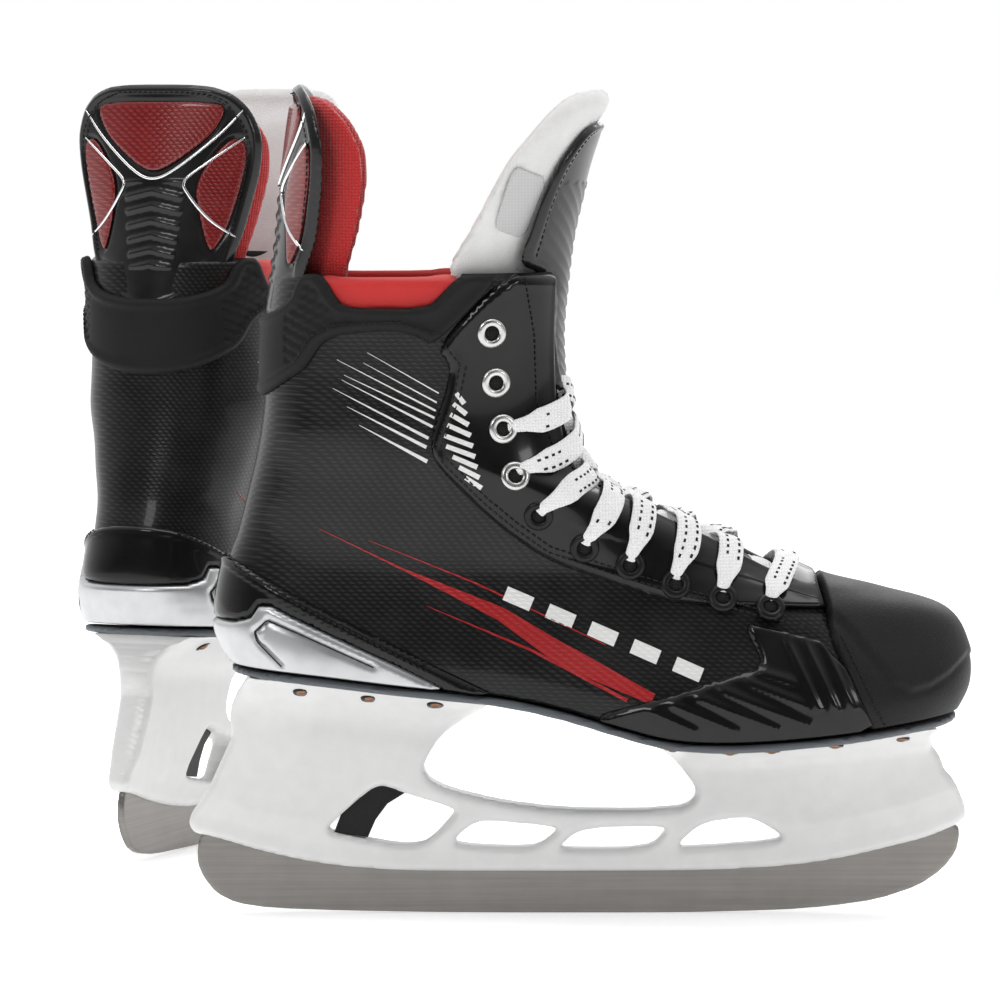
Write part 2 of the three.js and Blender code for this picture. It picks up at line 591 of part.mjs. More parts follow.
const TRIGGER_PIVOT = [-86, 56];
const PIN_LENGTH = 13;
const trigger = [
  [-91, 61], [-81, 61.5], [-75.5, 52], [-66.8, 46.8], [-73.5, 42.6], [-78, 36.5], [-81, 29.6], [-94, 31.4],
  [-91.5, 38], [-98, 44.5], [-124, 42.5], [-128, 45], [-126, 49.5], [-99, 51.5],
];
const triggerRoom = [
  [-130.6, 39.5], [-130.6, 62.5], [-78, 64.5], [-72, 52], [-60, 46], [-74, 28.5], [-104, 28.5], [-108, 39.5],
];
const TRIGGER_GAP = 0.5; // on each side of the trigger in its room
const SPRING = { x: -114, radius: 2.6, wall: 0.9, low: 50.9, high: 62.1 };

const WINDOWS = [
  [[-96.2, 33.5], [-94.5, 36], [-79.5, 49.2], [-74.3, 50.1], [-66.6, 47], [-47.7, 41.4], [-47.3, 38.6],
    [-57, 28.2], [-63, 26.7], [-70.5, 27], [-95, 31.5]],
  [[-46.2, 26.7], [-47.5, 29.4], [-41.5, 34.7], [-35.8, 36.6], [-14.6, 34.7], [-7.7, 33.5], [-9, 30.5],
    [-16.5, 25.4]],
  [[-6, 25.2], [-6.5, 26.9], [1.5, 33.5], [31.6, 34.3], [34.6, 32.6], [28.2, 25.3]],
  [[39.9, 25.8], [39.4, 28.2], [48.2, 35.7], [64.5, 37.8], [70, 36.2], [78.8, 30.8], [77.8, 28.1],
    [43, 25.6]],
];
const soleBottom = (x) => soleTop(x) - SOLE_WALL - 2 * CLEARANCE;
const REAR_TOWER = [-126, -34]; // x of each tower's top
const FRONT_TOWER = [28.5, 138];
const FLANGE_WALL = 4.5;
const FLANGE_LEVEL = 0.25; // level of the last that a flange's outline follows
const REAR_INSET = 5; // and how far inside it each flange stays
const FRONT_INSET = 12;

function holderProfile() {
  const lower = soleSamples(-146, 147).map((x) => [x, holderEdge(x) + CLEARANCE]);
  return [
    ...lower,
    [149.6, 37.4], [149.4, 42.4], [145.2, 52], [141.3, 56], [139.4, 61.6], [136.3, 65.5], [135.5, 69.3],
    [FRONT_TOWER[1], soleBottom(FRONT_TOWER[1])],
    ...soleSamples(...FRONT_TOWER).slice(1, -1).reverse().map((x) => [x, soleBottom(x)]),
    [FRONT_TOWER[0], soleBottom(FRONT_TOWER[0])], [29.7, 66.7], [33.5, 64.3], [39.3, 57.8], [45, 50.1],
    [45.8, 46.2], [43.9, 43.1], [39.3, 41.2], [23.9, 40.1], [-7, 40.5], [-30, 43.5], [-49.3, 48.2],
    [-57, 52], [-59.3, 55.9], [-58.9, 59.7], [-53.1, 69.3], [-41.6, 78.2], [-37.7, 80.5],
    [REAR_TOWER[1], soleBottom(REAR_TOWER[1])],
    ...soleSamples(...REAR_TOWER).slice(1, -1).reverse().map((x) => [x, soleBottom(x)]),
    [REAR_TOWER[0], soleBottom(REAR_TOWER[0])], [-133.2, 82.8], [-134, 75.1], [-133.2, 69.3],
    [-134.7, 65.5], [-143.6, 46.2], [-149.4, 38.5], [-150.1, 34.7], [-148.2, 31.6],
  ];
}

// Half the holder's thickness by height, drawn from the front.
const holderHalf = [[12, 4.6], [23, 4.8], [28, 6.4], [52, 6.8], [64, 8], [76, 11.5], [84, 15], [100, 17]];

function holderPiece() {
  const side = bothSides(holderProfile());
  const ends = [...holderHalf.map(([z, y]) => [-y, z]), ...holderHalf.toReversed().map(([z, y]) => [y, z])];
  const shape = new THREE.Shape(ends.map(([y, z]) => new THREE.Vector2(y, z)));
  const across = new THREE.ExtrudeGeometry(shape, { depth: 2 * FAR, bevelEnabled: false });
  across.rotateX(PI / 2).rotateZ(PI / 2).translate(-FAR, 0, 0);
  let holder = side.intersect(solidOf(across));
  const flange = ([from, to], inset) => {
    const xs = soleSamples(from, to);
    const band = [
      ...xs.map((x) => [x, soleBottom(x) - FLANGE_WALL]), ...xs.toReversed().map((x) => [x, soleBottom(x)]),
    ];
    return bothSides(band).intersect(planPrism(planOutline(FLANGE_LEVEL, -inset), ...SOLE_SPACE));
  };
  holder = union(holder, flange(REAR_TOWER, REAR_INSET), flange(FRONT_TOWER, FRONT_INSET));
  for (const outline of WINDOWS) holder = holder.subtract(bothSides(outline));
  const slotHalf = RUNNER_WALL / 2 + SLOT_CLEARANCE;
  const [slotStart, slotEnd] = SLOT_ENDS;
  const slot = [
    ...soleSamples(slotStart, slotEnd).map((x) => [x, holderEdge(x) + RUNNER_SEAT + CLEARANCE]),
    [slotEnd, 0], [slotStart, 0],
  ];
  holder = holder.subtract(sidePrism(slot, -slotHalf, slotHalf));
  for (const [from, to, height] of [HOOK_FRONT, HOOK_REAR]) {
    const top = height + CLEARANCE;
    const pocket = [
      [from - HOOK_ROOM, 0], [to + HOOK_ROOM, 0], [to + HOOK_ROOM, top], [from - HOOK_ROOM, top],
    ];
    holder = holder.subtract(sidePrism(pocket, -slotHalf, slotHalf));
  }
  const roomHalf = TRIGGER_WALL / 2 + TRIGGER_GAP;
  holder = holder.subtract(sidePrism(triggerRoom, -roomHalf, roomHalf));
  return holder.subtract(crossPin(...TRIGGER_PIVOT, PIN_RADIUS + CLEARANCE, FAR));
}

function chassisPieces() {
  const lever = sidePrism(trigger, -TRIGGER_WALL / 2, TRIGGER_WALL / 2)
    .subtract(crossPin(...TRIGGER_PIVOT, PIN_RADIUS + CLEARANCE, FAR));
  const { x, radius, wall, low, high } = SPRING;
  const profile = [[radius - wall, low], [radius, low], [radius, high], [radius - wall, high],
    [radius - wall, low]];
  const coil = new THREE.LatheGeometry(profile.map(([r, z]) => new THREE.Vector2(r, z)), 12);
  coil.rotateX(PI / 2).translate(x, 0, 0);
  return {
    ...runnerPiece(),
    holder: [holderPiece(), whitePlastic],
    trigger: [lever, blackPlastic],
    trigger_pin: [crossPin(...TRIGGER_PIVOT, PIN_RADIUS, PIN_LENGTH), steel],
    trigger_spring: [solidOf(coil), steel],
  };
}

// ---- The pair -----------------------------------------------------------------------------------
const PIECES = { ...chassisPieces(), ...solePieces(), ...bootPieces(), ...shieldPieces(), ...lacePiece() };

function skate(foot) {
  const group = new THREE.Group();
  for (const [name, [solid, material]] of Object.entries(PIECES)) {
    group.add(meshOf(`${foot}_${name}`, solid, material));
  }
  return group;
}

const pair = new THREE.Group();
pair.add(skate("right"));
const left = skate("left");
left.scale.y = -1;
left.rotation.z = (LEFT_TURN * PI) / 180;
left.position.set(...LEFT_PLACE, 0);
pair.add(left);

export default pair;
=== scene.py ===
"""A pair of ice hockey skates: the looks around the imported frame.

Sizes are in millimetres in the right skate's own frame (toe +X, outer side -Y, up +Z) until a mesh is
made, and the left skate is the mirror image, turned and set behind.
"""

import functools
import math

import bmesh
import bpy
import numpy as np
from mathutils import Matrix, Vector


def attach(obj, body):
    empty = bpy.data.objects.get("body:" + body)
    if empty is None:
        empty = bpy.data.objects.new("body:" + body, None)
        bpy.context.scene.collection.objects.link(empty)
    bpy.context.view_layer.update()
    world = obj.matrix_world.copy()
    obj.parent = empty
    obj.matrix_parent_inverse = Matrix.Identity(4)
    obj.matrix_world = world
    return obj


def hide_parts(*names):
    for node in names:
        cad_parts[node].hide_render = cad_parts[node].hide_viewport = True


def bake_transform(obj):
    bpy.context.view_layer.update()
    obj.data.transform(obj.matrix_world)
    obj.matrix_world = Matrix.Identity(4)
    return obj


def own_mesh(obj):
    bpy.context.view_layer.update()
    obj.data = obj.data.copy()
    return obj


bl_info = {
    "name": "Hockey skates",
    "version": (1, 0, 0),
    "blender": (4, 5, 0),
    "location": "View3D > Sidebar > Skates",
    "description": "Builds a pair of ice hockey skates around a fixed frame",
    "category": "Object",
}

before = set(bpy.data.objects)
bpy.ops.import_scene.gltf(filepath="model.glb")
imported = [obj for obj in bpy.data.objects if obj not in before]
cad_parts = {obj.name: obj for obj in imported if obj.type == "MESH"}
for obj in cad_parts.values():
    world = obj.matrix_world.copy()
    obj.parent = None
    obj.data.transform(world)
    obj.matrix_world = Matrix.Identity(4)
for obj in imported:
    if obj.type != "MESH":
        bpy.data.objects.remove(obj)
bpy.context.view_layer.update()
MM = 0.001
FEET = ("right", "left")
LEFT_TURN = math.radians(67.5)
LEFT_PLACE = (-129.0, 257.0)

# ---- The last: the foot-shaped form that the boot is built on -----------------------------------
THROAT_HALF = 22.0
THROAT_FRONT = 79.0
TOP_LINE = 248.6
TOP_LEVEL = 11
FLAT_LEVELS = 5
HEEL_STATIONS = 0.28
FRONT_STATIONS = 0.6
CAP_POWER = 2.2

SOLE = [(-140, 98), (-107, 95.6), (-68, 91), (-30, 87.3), (-7, 82.8), (16, 76.5), (32, 72.6), (47, 71.3),
        (70, 71.8), (100, 74.2), (124, 76.8), (150, 79.5)]
BALL = [(-140, 31), (-100, 33), (-60, 34), (-20, 38), (20, 46), (55, 50.5), (85, 49.5), (110, 47), (150, 44)]
# Each level: heel x, heel z, front x, front z, heel cap, front cap, fullness, shaft half width, share.
LEVELS = [
    (-131, 97.8, 143.5, 79, 33, 60, 1, 36, 0), (-136.5, 108, 149, 91, 34, 62, 1.01, 36, 0),
    (-137.8, 121, 148, 104, 34, 70, 0.93, 36, 0.1), (-134.8, 137, 140, 116.5, 34, 85, 0.8, 36, 0.3),
    (-130.6, 149, 117, 123.5, 33, 98, 0.7, 36, 0.5), (-127.4, 162, 93, 129.5, 33, 105, 0.62, 37, 0.7),
    (-124, 176, 66, 142, 33, 98, 0.56, 37.5, 0.85), (-121.6, 190, 34, 155, 34, 82, 0.54, 38, 1),
    (-120.3, 203, 9, 166.5, 35, 64, 0.54, 38.5, 1), (-120, 217, -2, 189, 35, 52, 0.54, 38, 1),
    (-119, 232, -5.5, 216, 36, 46, 0.54, 39, 1), (-116.8, TOP_LINE, -6, TOP_LINE, 37, 44, 0.54, 42, 1),
]


def smooth_curve(knots):
    """A smooth function of x through the knots, held level past its ends."""
    k = np.array(knots, float)
    before = np.maximum(np.arange(len(k)) - 1, 0)
    after = np.minimum(np.arange(len(k)) + 1, len(k) - 1)
    slope = (k[after, 1] - k[before, 1]) / (k[after, 0] - k[before, 0])

    def value(x):
        c = np.clip(np.asarray(x, float), k[0, 0], k[-1, 0])
        i = np.clip(np.searchsorted(k[:, 0], c, side="left") - 1, 0, len(k) - 2)
        w = k[i + 1, 0] - k[i, 0]
        t = (c - k[i, 0]) / w
        return ((2 * t**3 - 3 * t**2 + 1) * k[i, 1] + (t**3 - 2 * t**2 + t) * w * slope[i]
                + (3 * t**2 - 2 * t**3) * k[i + 1, 1] + (t**3 - t**2) * w * slope[i + 1])

    return value


sole_top = smooth_curve(SOLE)
ball_width = smooth_curve(BALL)
OF_LEVEL = [smooth_curve([(i, row[k]) for i, row in enumerate(LEVELS)]) for k in range(9)]


def centre_normal(kx, kz, level, side):
    """The outward normal, in side view, of the heel's or the front's centre line."""
    a, b = np.maximum(level - 0.25, 0), np.minimum(level + 0.25, TOP_LEVEL)
    dx, dz = OF_LEVEL[kx](b) - OF_LEVEL[kx](a), OF_LEVEL[kz](b) - OF_LEVEL[kz](a)
    length = np.hypot(dx, dz)
    return side * dz / length, -side * dx / length


def on_last(level, ring, offset=0.0):
    """Points of the last moved outwards. ring runs 0 to 1 up the outer side, from heel to front, and 1 to
    2 back down the inner side."""
    level, ring, offset = np.broadcast_arrays(*(np.asarray(v, float) for v in (level, ring, offset)))
    side = np.where(ring <= 1, -1.0, 1.0)
    station = np.clip(np.where(ring <= 1, ring, 2 - ring), 0, 1)
    bx, bz = centre_normal(0, 1, level, -1)
    nx, nz = centre_normal(2, 3, level, 1)
    x0, z0 = OF_LEVEL[0](level) + offset * bx, OF_LEVEL[1](level) + offset * bz
    x1, z1 = OF_LEVEL[2](level) + offset * nx, OF_LEVEL[3](level) + offset * nz
    back, front = OF_LEVEL[4](level) + offset / 2, OF_LEVEL[5](level) + offset / 2
    x = np.select(
        [station < HEEL_STATIONS, station > FRONT_STATIONS],
        [x0 + back * (1 - np.cos(station / HEEL_STATIONS * np.pi / 2)),
         x1 - front * (1 - np.cos((1 - station) / (1 - FRONT_STATIONS) * np.pi / 2))],
        x0 + back + (x1 - front - x0 - back) * (station - HEEL_STATIONS) / (FRONT_STATIONS - HEEL_STATIONS))
    cap = lambda q: (1 - (1 - np.clip(q, 0, 1)) ** CAP_POWER) ** (1 / CAP_POWER)
    share = (x - x0) / (x1 - x0)
    mixed = OF_LEVEL[8](level)
    half = ball_width(x) * OF_LEVEL[6](level) * (1 - mixed) + OF_LEVEL[7](level) * mixed + offset
    y = half * cap((x - x0) / back) * cap((x1 - x) / front)
    low = np.clip(1 - level / FLAT_LEVELS, 0, 1)
    lift0, lift1 = z0 - sole_top(x0), z1 - sole_top(x1)
    z = (z0 + (z1 - z0) * share) * (1 - low) + (sole_top(x) + lift0 + (lift1 - lift0) * share) * low
    return np.stack([x, side * y, z], -1)


def side_point(x, z, side=-1, offset=0.0):
    """Points on one side of the last that show at (x, z) in side view, with level and ring."""
    x, z = np.atleast_1d(np.asarray(x, float)), np.atleast_1d(np.asarray(z, float))
    lv, st = np.meshgrid(np.linspace(0, TOP_LEVEL, 45), np.linspace(0, 1, 60), indexing="ij")
    table = on_last(lv, st, offset)
    away = (table[None, ..., 0] - x[:, None, None]) ** 2 + (table[None, ..., 2] - z[:, None, None]) ** 2
    best = away.reshape(len(x), -1).argmin(1)
    level, station = lv.ravel()[best], st.ravel()[best]
    step = 1e-3
    for _ in range(8):
        p = on_last(level, station, offset)
        a = (on_last(level + step, station, offset) - p) / step
        b = (on_last(level, station + step, offset) - p) / step
        ex, ez = x - p[:, 0], z - p[:, 2]
        det = a[:, 0] * b[:, 2] - a[:, 2] * b[:, 0]
        det = np.where(np.abs(det) < 1e-3, 1e-3, det)
        level = np.clip(level + np.clip((ex * b[:, 2] - ez * b[:, 0]) / det, -0.5, 0.5), 0, TOP_LEVEL)
        station = np.clip(station + np.clip((a[:, 0] * ez - a[:, 2] * ex) / det, -0.05, 0.05), 0, 1)
    ring = station if side < 0 else 2 - station
    return on_last(level, ring, offset), level, ring


def outward(level, ring, offset=0.0):
    """Unit normals of the last."""
    n = on_last(level, ring, offset + 1) - on_last(level, ring, offset)
    return n / np.maximum(np.linalg.norm(n, axis=-1, keepdims=True), 1e-9)


def normals(level, ring, offset=0.0):
    """Unit normals of an offset surface of the last, square to it."""
    a = on_last(level + 0.02, ring, offset) - on_last(level - 0.02, ring, offset)
    b = on_last(level, ring + 0.002, offset) - on_last(level, ring - 0.002, offset)
    n = np.cross(a, b)
    n *= np.sign((n * outward(level, ring, offset)).sum(-1, keepdims=True))
    return n / np.maximum(np.linalg.norm(n, axis=-1, keepdims=True), 1e-9)


# ---- Outlines ------------------------------------------------------------------------------------
def rounded(outline, passes=2, cut=0.22):
    """The outline with its corners cut, again and again."""
    p = np.array(outline, float)
    for _ in range(passes):
        q = np.roll(p, -1, 0)
        p = np.stack([p + (q - p) * cut, q - (q - p) * cut], 1).reshape(-1, 2)
    return p


def inside(points, outline):
    """Signed distance of 2-D points to a closed outline, above 0 inside."""
    a, b = outline, np.roll(outline, -1, 0)
    out = np.empty(len(points))
    for first in range(0, len(points), 20000):
        p = points[first:first + 20000]
        d, e = p[:, None] - a[None], (b - a)[None]
        t = np.clip((d * e).sum(-1) / np.maximum((e * e).sum(-1), 1e-12), 0, 1)
        away = np.sqrt(((d - e * t[..., None]) ** 2).sum(-1)).min(1)
        pz, az, bz = p[:, None, 1], a[None, :, 1], b[None, :, 1]
        hit = (az > pz) != (bz > pz)
        cross = a[None, :, 0] + (pz - az) / np.where(hit, bz - az, 1) * (b - a)[None, :, 0]
        odd = (hit & (p[:, None, 0] < cross)).sum(1) % 2 == 1
        out[first:first + 20000] = np.where(odd, away, -away)
    return out


def near_line(points, line):
    """Distance of 2-D points to an open line."""
    a, b = np.array(line[:-1], float), np.array(line[1:], float)
    best = np.full(len(points), np.inf)
    for p, q in zip(a, b):
        e = q - p
        t = np.clip(((points - p) @ e) / max(e @ e, 1e-12), 0, 1)
        best = np.minimum(best, np.linalg.norm(points - p - t[:, None] * e, axis=1))
    return best


TOE_SEAM = [(89.6, 140), (97.3, 109.7), (116.5, 70)]
HEEL_SEAM = [(-150, 143), (-134.7, 139.8), (-107, 125.2), (-76.2, 109.8), (-45.4, 93.6), (-22.3, 83)]
CUP_SEAM = [(-150, 115.1), (-126.7, 115.9), (-121.3, 124), (-107, 116.7), (-60.8, 95.1), (-41.6, 84)]
COLLAR = [(-135, 226), (-110.9, 236.8), (-107.8, 246), (-105.1, 248.6), (-98.5, 248.6), (-93.5, 239.9),
          (-88.9, 235.6), (-57, 235.6), (-51.2, 240.7), (-43.5, 248.6), (-26.9, 248.6), (-54.3, 221),
          (-58.9, 224.1), (-68.5, 227.2), (-91.6, 226), (-99.3, 222.2), (-105.1, 212.9), (-110.9, 209.1),
          (-126, 199), (-135, 194)]
EYESTAY_LOW = [(97.3, 109.7), (91.2, 111.7), (70.1, 116.3), (54.7, 120.5), (39.3, 124.4), (8.5, 133.6),
               (-12.7, 140.6), (-26.2, 150.2), (-37.7, 159.8), (-53.1, 175.2), (-57, 182.9),
               (-49.3, 204.1), (-47.4, 213.7), (-53.6, 221)]
EYESTAY = [(-26.4, 248.6), (0, 254), (40, 200), (110, 150), (89.4, 140)] + EYESTAY_LOW
FOREFOOT = [(4.6, 79.7), (23.9, 85.9), (54.7, 96.3), (68.2, 100.1), (69.3, 104), (62.4, 117),
            (70.1, 116), (97, 109.2), (116.2, 69), (4.6, 60)]
EYELETS = [(72.4, 122.5), (54.3, 125.9), (36.6, 130.9), (19.3, 137.9), (2, 144.4), (-15.4, 156.7),
           (-24.2, 172.1), (-28.8, 189.8), (-31.5, 207.2), (-33.1, 226)]
LACED = 8


# ---- Mesh making ----------------------------------------------------------------------------------
def cut_grid(keep, closed):
    """Triangles of a grid where keep is above 0. Returns, for each vertex, the two grid points that it
    lies between and how far along, and the triangles."""
    rows, cols = keep.shape
    index = np.arange(rows * cols).reshape(rows, cols)
    right = np.roll(index, -1, 1) if closed else index[:, 1:]
    left = index if closed else index[:, :-1]
    a, b, c, d = left[:-1], right[:-1], right[1:], left[1:]
    tris = np.concatenate([np.stack([a, b, c], -1).reshape(-1, 3), np.stack([a, c, d], -1).reshape(-1, 3)])
    value = keep.ravel()
    full = value[tris] > 0
    count = full.sum(1)
    out, pairs = [tris[count == 3]], []
    n = rows * cols
    for wanted in (1, 2):
        part = tris[count == wanted]
        ins = full[count == wanted]
        lone = np.argmax(ins if wanted == 1 else ~ins, 1)
        row = np.arange(len(part))
        p, q, r = part[row, lone], part[row, (lone + 1) % 3], part[row, (lone + 2) % 3]
        pairs.append((wanted, p, q, r))
    edges = []
    for wanted, p, q, r in pairs:
        edges += [np.sort(np.stack([p, q], -1), 1), np.sort(np.stack([p, r], -1), 1)]
    unique, back = np.unique(np.concatenate(edges), axis=0, return_inverse=True)
    back = back.ravel() + n
    start = 0
    for wanted, p, q, r in pairs:
        pq, pr = back[start:start + len(p)], back[start + len(p):start + 2 * len(p)]
        start += 2 * len(p)
        if wanted == 1:
            out.append(np.stack([p, pq, pr], -1))
        else:
            out += [np.stack([pq, q, r], -1), np.stack([pq, r, pr], -1)]
    tris = np.concatenate(out)
    low, high = unique[:, 0], unique[:, 1]
    t = value[low] / (value[low] - value[high])
    ends = np.concatenate([np.stack([np.arange(n)] * 2, -1), unique])
    t = np.concatenate([np.zeros(n), t])
    used = np.unique(tris)
    new = np.full(len(ends), -1)
    new[used] = np.arange(len(used))
    return ends[used], t[used], new[tris], used >= n


def between(grid, ends, t):
    flat = grid.reshape(-1, grid.shape[-1]) if grid.ndim == 3 else grid.ravel()
    t = t[:, None] if grid.ndim == 3 else t
    return flat[ends[:, 0]] * (1 - t) + flat[ends[:, 1]] * t


def skin(outer, inner, keep, closed=False):
    """A closed wall between two grids of points, cut where keep is 0. Its cut edge is shared, so outer and
    inner have to meet there or are joined by a wall."""
    ends, t, tris, edge = cut_grid(keep, closed)
    top, low = between(outer, ends, t), between(inner, ends, t)
    count = len(top)
    verts = np.concatenate([top, low])
    directed = np.concatenate([tris[:, [0, 1]], tris[:, [1, 2]], tris[:, [2, 0]]])
    code = directed[:, 0] * count + directed[:, 1]
    other = directed[:, 1] * count + directed[:, 0]
    rim = directed[~np.isin(code, other)]
    walls = np.concatenate([np.stack([rim[:, 1], rim[:, 0], rim[:, 0] + count], -1),
                            np.stack([rim[:, 1], rim[:, 0] + count, rim[:, 1] + count], -1)])
    return verts, np.concatenate([tris, tris[:, ::-1] + count, walls])


def to_foot(points, foot):
    """Millimetres in the right skate's frame as metres in the row frame."""
    p = np.asarray(points, float)
    if foot == "right":
        return p * MM
    x, y = p[:, 0], -p[:, 1]
    c, s = math.cos(LEFT_TURN), math.sin(LEFT_TURN)
    return np.stack([x * c - y * s + LEFT_PLACE[0], x * s + y * c + LEFT_PLACE[1], p[:, 2]], -1) * MM


def add_mesh(name, foot, verts, faces, material, body="boot", smooth=True, replaces=(), slot=None):
    """A finished piece of one skate. place holds each point in the right skate's frame, in metres."""
    mesh = bpy.data.meshes.new(f"{foot}_{name}")
    faces = [tuple(f) for f in (faces.tolist() if hasattr(faces, "tolist") else faces)]
    mesh.from_pydata(to_foot(verts, foot).tolist(), [], faces)
    place = mesh.attributes.new("place", "FLOAT_VECTOR", "POINT")
    place.data.foreach_set("vector", (np.asarray(verts, float) * MM).astype(np.float32).ravel())
    piece = bpy.data.objects.new(f"{foot}_{name}", mesh)
    bpy.context.scene.collection.objects.link(piece)
    tidy_mesh(piece, smooth)
    piece.data.materials.append(material)
    finish_piece(piece, foot, body, replaces)
    return piece


def tidy_mesh(piece, smooth=True):
    """Merges doubles and turns every face outwards."""
    work = bmesh.new()
    work.from_mesh(piece.data)
    bmesh.ops.remove_doubles(work, verts=work.verts, dist=2e-6)
    bmesh.ops.dissolve_degenerate(work, edges=work.edges, dist=1e-6)
    bmesh.ops.recalc_face_normals(work, faces=work.faces)
    work.to_mesh(piece.data)
    work.free()
    piece.data.shade_smooth() if smooth else piece.data.shade_flat()


BODY = {"boot": "{}_boot", "guard": "{}_tendon_guard_body", "tongue": "{}_tongue_top_body",
        "trigger": "{}_trigger_body", "runner": "{}_runner_body"}


def finish_piece(piece, foot, body, replaces=()):
    """Says what a piece rides on and which CAD nodes it stands for."""
    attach(piece, BODY[body].format(foot))
    if replaces:
        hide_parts(*[f"{foot}_{node}" for node in replaces])


def round_edge(distance, radius):
    """0 at a panel's edge, rising to 1 in a quarter circle."""
    return np.sqrt(np.clip(1 - (1 - np.clip(distance / radius, 0, 1)) ** 2, 0, 1))


def boot_grid(step, levels=(0, TOP_LEVEL), rings=(0, 2)):
    """Level and ring values of a grid over the last, about step apart, and whether it closes."""
    rows = max(8, int((levels[1] - levels[0]) * 15 / step))
    cols = max(16, int((rings[1] - rings[0]) * 300 / step))
    closed = rings == (0, 2)
    ring = np.linspace(*rings, cols, endpoint=not closed)
    return *np.meshgrid(np.linspace(*levels, rows), ring, indexing="ij"), closed


def panel(name, foot, keep_of, low, high, material, step=1.4, levels=(0, TOP_LEVEL), rings=(0, 2),
          radius=2.0, relief=None, **more):
    """A panel of the boot's shell: it lies between two offsets of the last, where keep_of is above 0, with
    a rolled edge. relief(points, keep) raises or sinks its face."""
    level, ring, closed = boot_grid(step, levels, rings)
    base = on_last(level, ring, high)
    flat = base.reshape(-1, 3)
    keep = keep_of(flat)
    rise = low + (high - low) * round_edge(keep, radius)
    if relief:
        rise = rise + relief(flat, keep) * round_edge(keep, radius)
    keep = keep.reshape(level.shape)
    outer = on_last(level, ring, rise.reshape(level.shape))
    inner = on_last(level, ring, low)
    verts, faces = skin(outer, inner, keep, closed)
    return add_mesh(name, foot, verts, faces, material, **more)


def side_keep(outline, passes=2):
    """A test for the inside of a side-view outline."""
    shape = rounded(outline, passes)
    return lambda p: inside(p[:, [0, 2]], shape)


def throat_keep(points):
    """Above 0 outside the corridor between the two eyestays."""
    corridor = [(THROAT_FRONT, 60), (THROAT_FRONT, 300), (-80, 300), (-40, 175), (0, 130)]
    in_side = inside(points[:, [0, 2]], np.array(corridor, float))
    return -np.minimum(in_side, THROAT_HALF - np.abs(points[:, 1]))


def sole_keep(points, lift=0.0):
    return points[:, 2] - sole_top(points[:, 0]) - lift


def top_keep(points):
    return TOP_LINE - points[:, 2]


# ---- Materials -------------------------------------------------------------------------------------
LOOKS = {}


def wave(tree, vector, direction, scale, distortion=0.0):
    node = tree.nodes.new("ShaderNodeTexWave")
    node.bands_direction = direction
    node.inputs["Scale"].default_value = scale
    node.inputs["Distortion"].default_value = distortion
    tree.links.new(vector, node.inputs["Vector"])
    return node.outputs["Fac"]


def noise(tree, vector, scale, detail=3.0):
    node = tree.nodes.new("ShaderNodeTexNoise")
    node.inputs["Scale"].default_value = scale
    node.inputs["Detail"].default_value = detail
    tree.links.new(vector, node.inputs["Vector"])
    return node.outputs["Fac"]


def maths(tree, operation, a, b):
    node = tree.nodes.new("ShaderNodeMath")
    node.operation = operation
    for socket, value in zip(node.inputs, (a, b)):
        if isinstance(value, (int, float)):
            socket.default_value = value
        else:
            tree.links.new(value, socket)
    return node.outputs[0]


def stretched(tree, vector, scale):
    node = tree.nodes.new("ShaderNodeMapping")
    node.inputs["Scale"].default_value = scale
    tree.links.new(vector, node.inputs["Vector"])
    return node.outputs[0]


def weave_height(tree, v):
    return maths(tree, "MULTIPLY", wave(tree, v, "Z", 210, 0.6), wave(tree, v, "DIAGONAL", 190, 0.6))


def knit_height(tree, v):
    return maths(tree, "MULTIPLY", wave(tree, v, "Z", 260), wave(tree, v, "X", 260))


def brushed_height(tree, v):
    return noise(tree, stretched(tree, v, (12, 12, 900)), 1.0, 2)


def grain_height(tree, v):
    return noise(tree, v, 1500, 2)


def felt_height(tree, v):
    return noise(tree, v, 2600, 5)


def smooth_height(tree, v):
    return noise(tree, v, 160, 2)


def make_look(name, color, second, roughness, height, bump, metallic=0.0, coat=0.0, sheen=0.0, spread=60):
    """A material with a main and a second colour, mixed by noise, rougher and smoother patches and a
    fine relief."""
    material = bpy.data.materials.new(name)
    material.use_nodes = True
    tree = material.node_tree
    shader = tree.nodes["Principled BSDF"]
    shader.inputs["Metallic"].default_value = metallic
    shader.inputs["Coat Weight"].default_value = coat
    shader.inputs["Coat Roughness"].default_value = 0.08
    shader.inputs["Specular IOR Level"].default_value = 0.5 if max(second) > 0.1 else 0.2
    shader.inputs["Sheen Weight"].default_value = sheen
    source = tree.nodes.new("ShaderNodeAttribute")
    source.attribute_name = "place"
    place = source.outputs["Vector"]
    patches = noise(tree, place, spread, 4)
    fine = height(tree, place)
    blend = maths(tree, "MULTIPLY", maths(tree, "ADD", patches, fine), 0.5)
    ramp = tree.nodes.new("ShaderNodeValToRGB")
    ramp.color_ramp.elements[0].position = 0.25
    ramp.color_ramp.elements[1].position = 0.75
    ramp.color_ramp.elements[0].color = (*color, 1)
    ramp.color_ramp.elements[1].color = (*second, 1)
    tree.links.new(blend, ramp.inputs["Fac"])
    tree.links.new(ramp.outputs["Color"], shader.inputs["Base Color"])
    rough = maths(tree, "ADD", maths(tree, "MULTIPLY", patches, 0.16), roughness - 0.08)
    tree.links.new(rough, shader.inputs["Roughness"])
    relief = tree.nodes.new("ShaderNodeBump")
    relief.inputs["Strength"].default_value = bump
    relief.inputs["Distance"].default_value = 0.0004
    tree.links.new(fine, relief.inputs["Height"])
    tree.links.new(relief.outputs["Normal"], shader.inputs["Normal"])
    LOOKS[name] = material


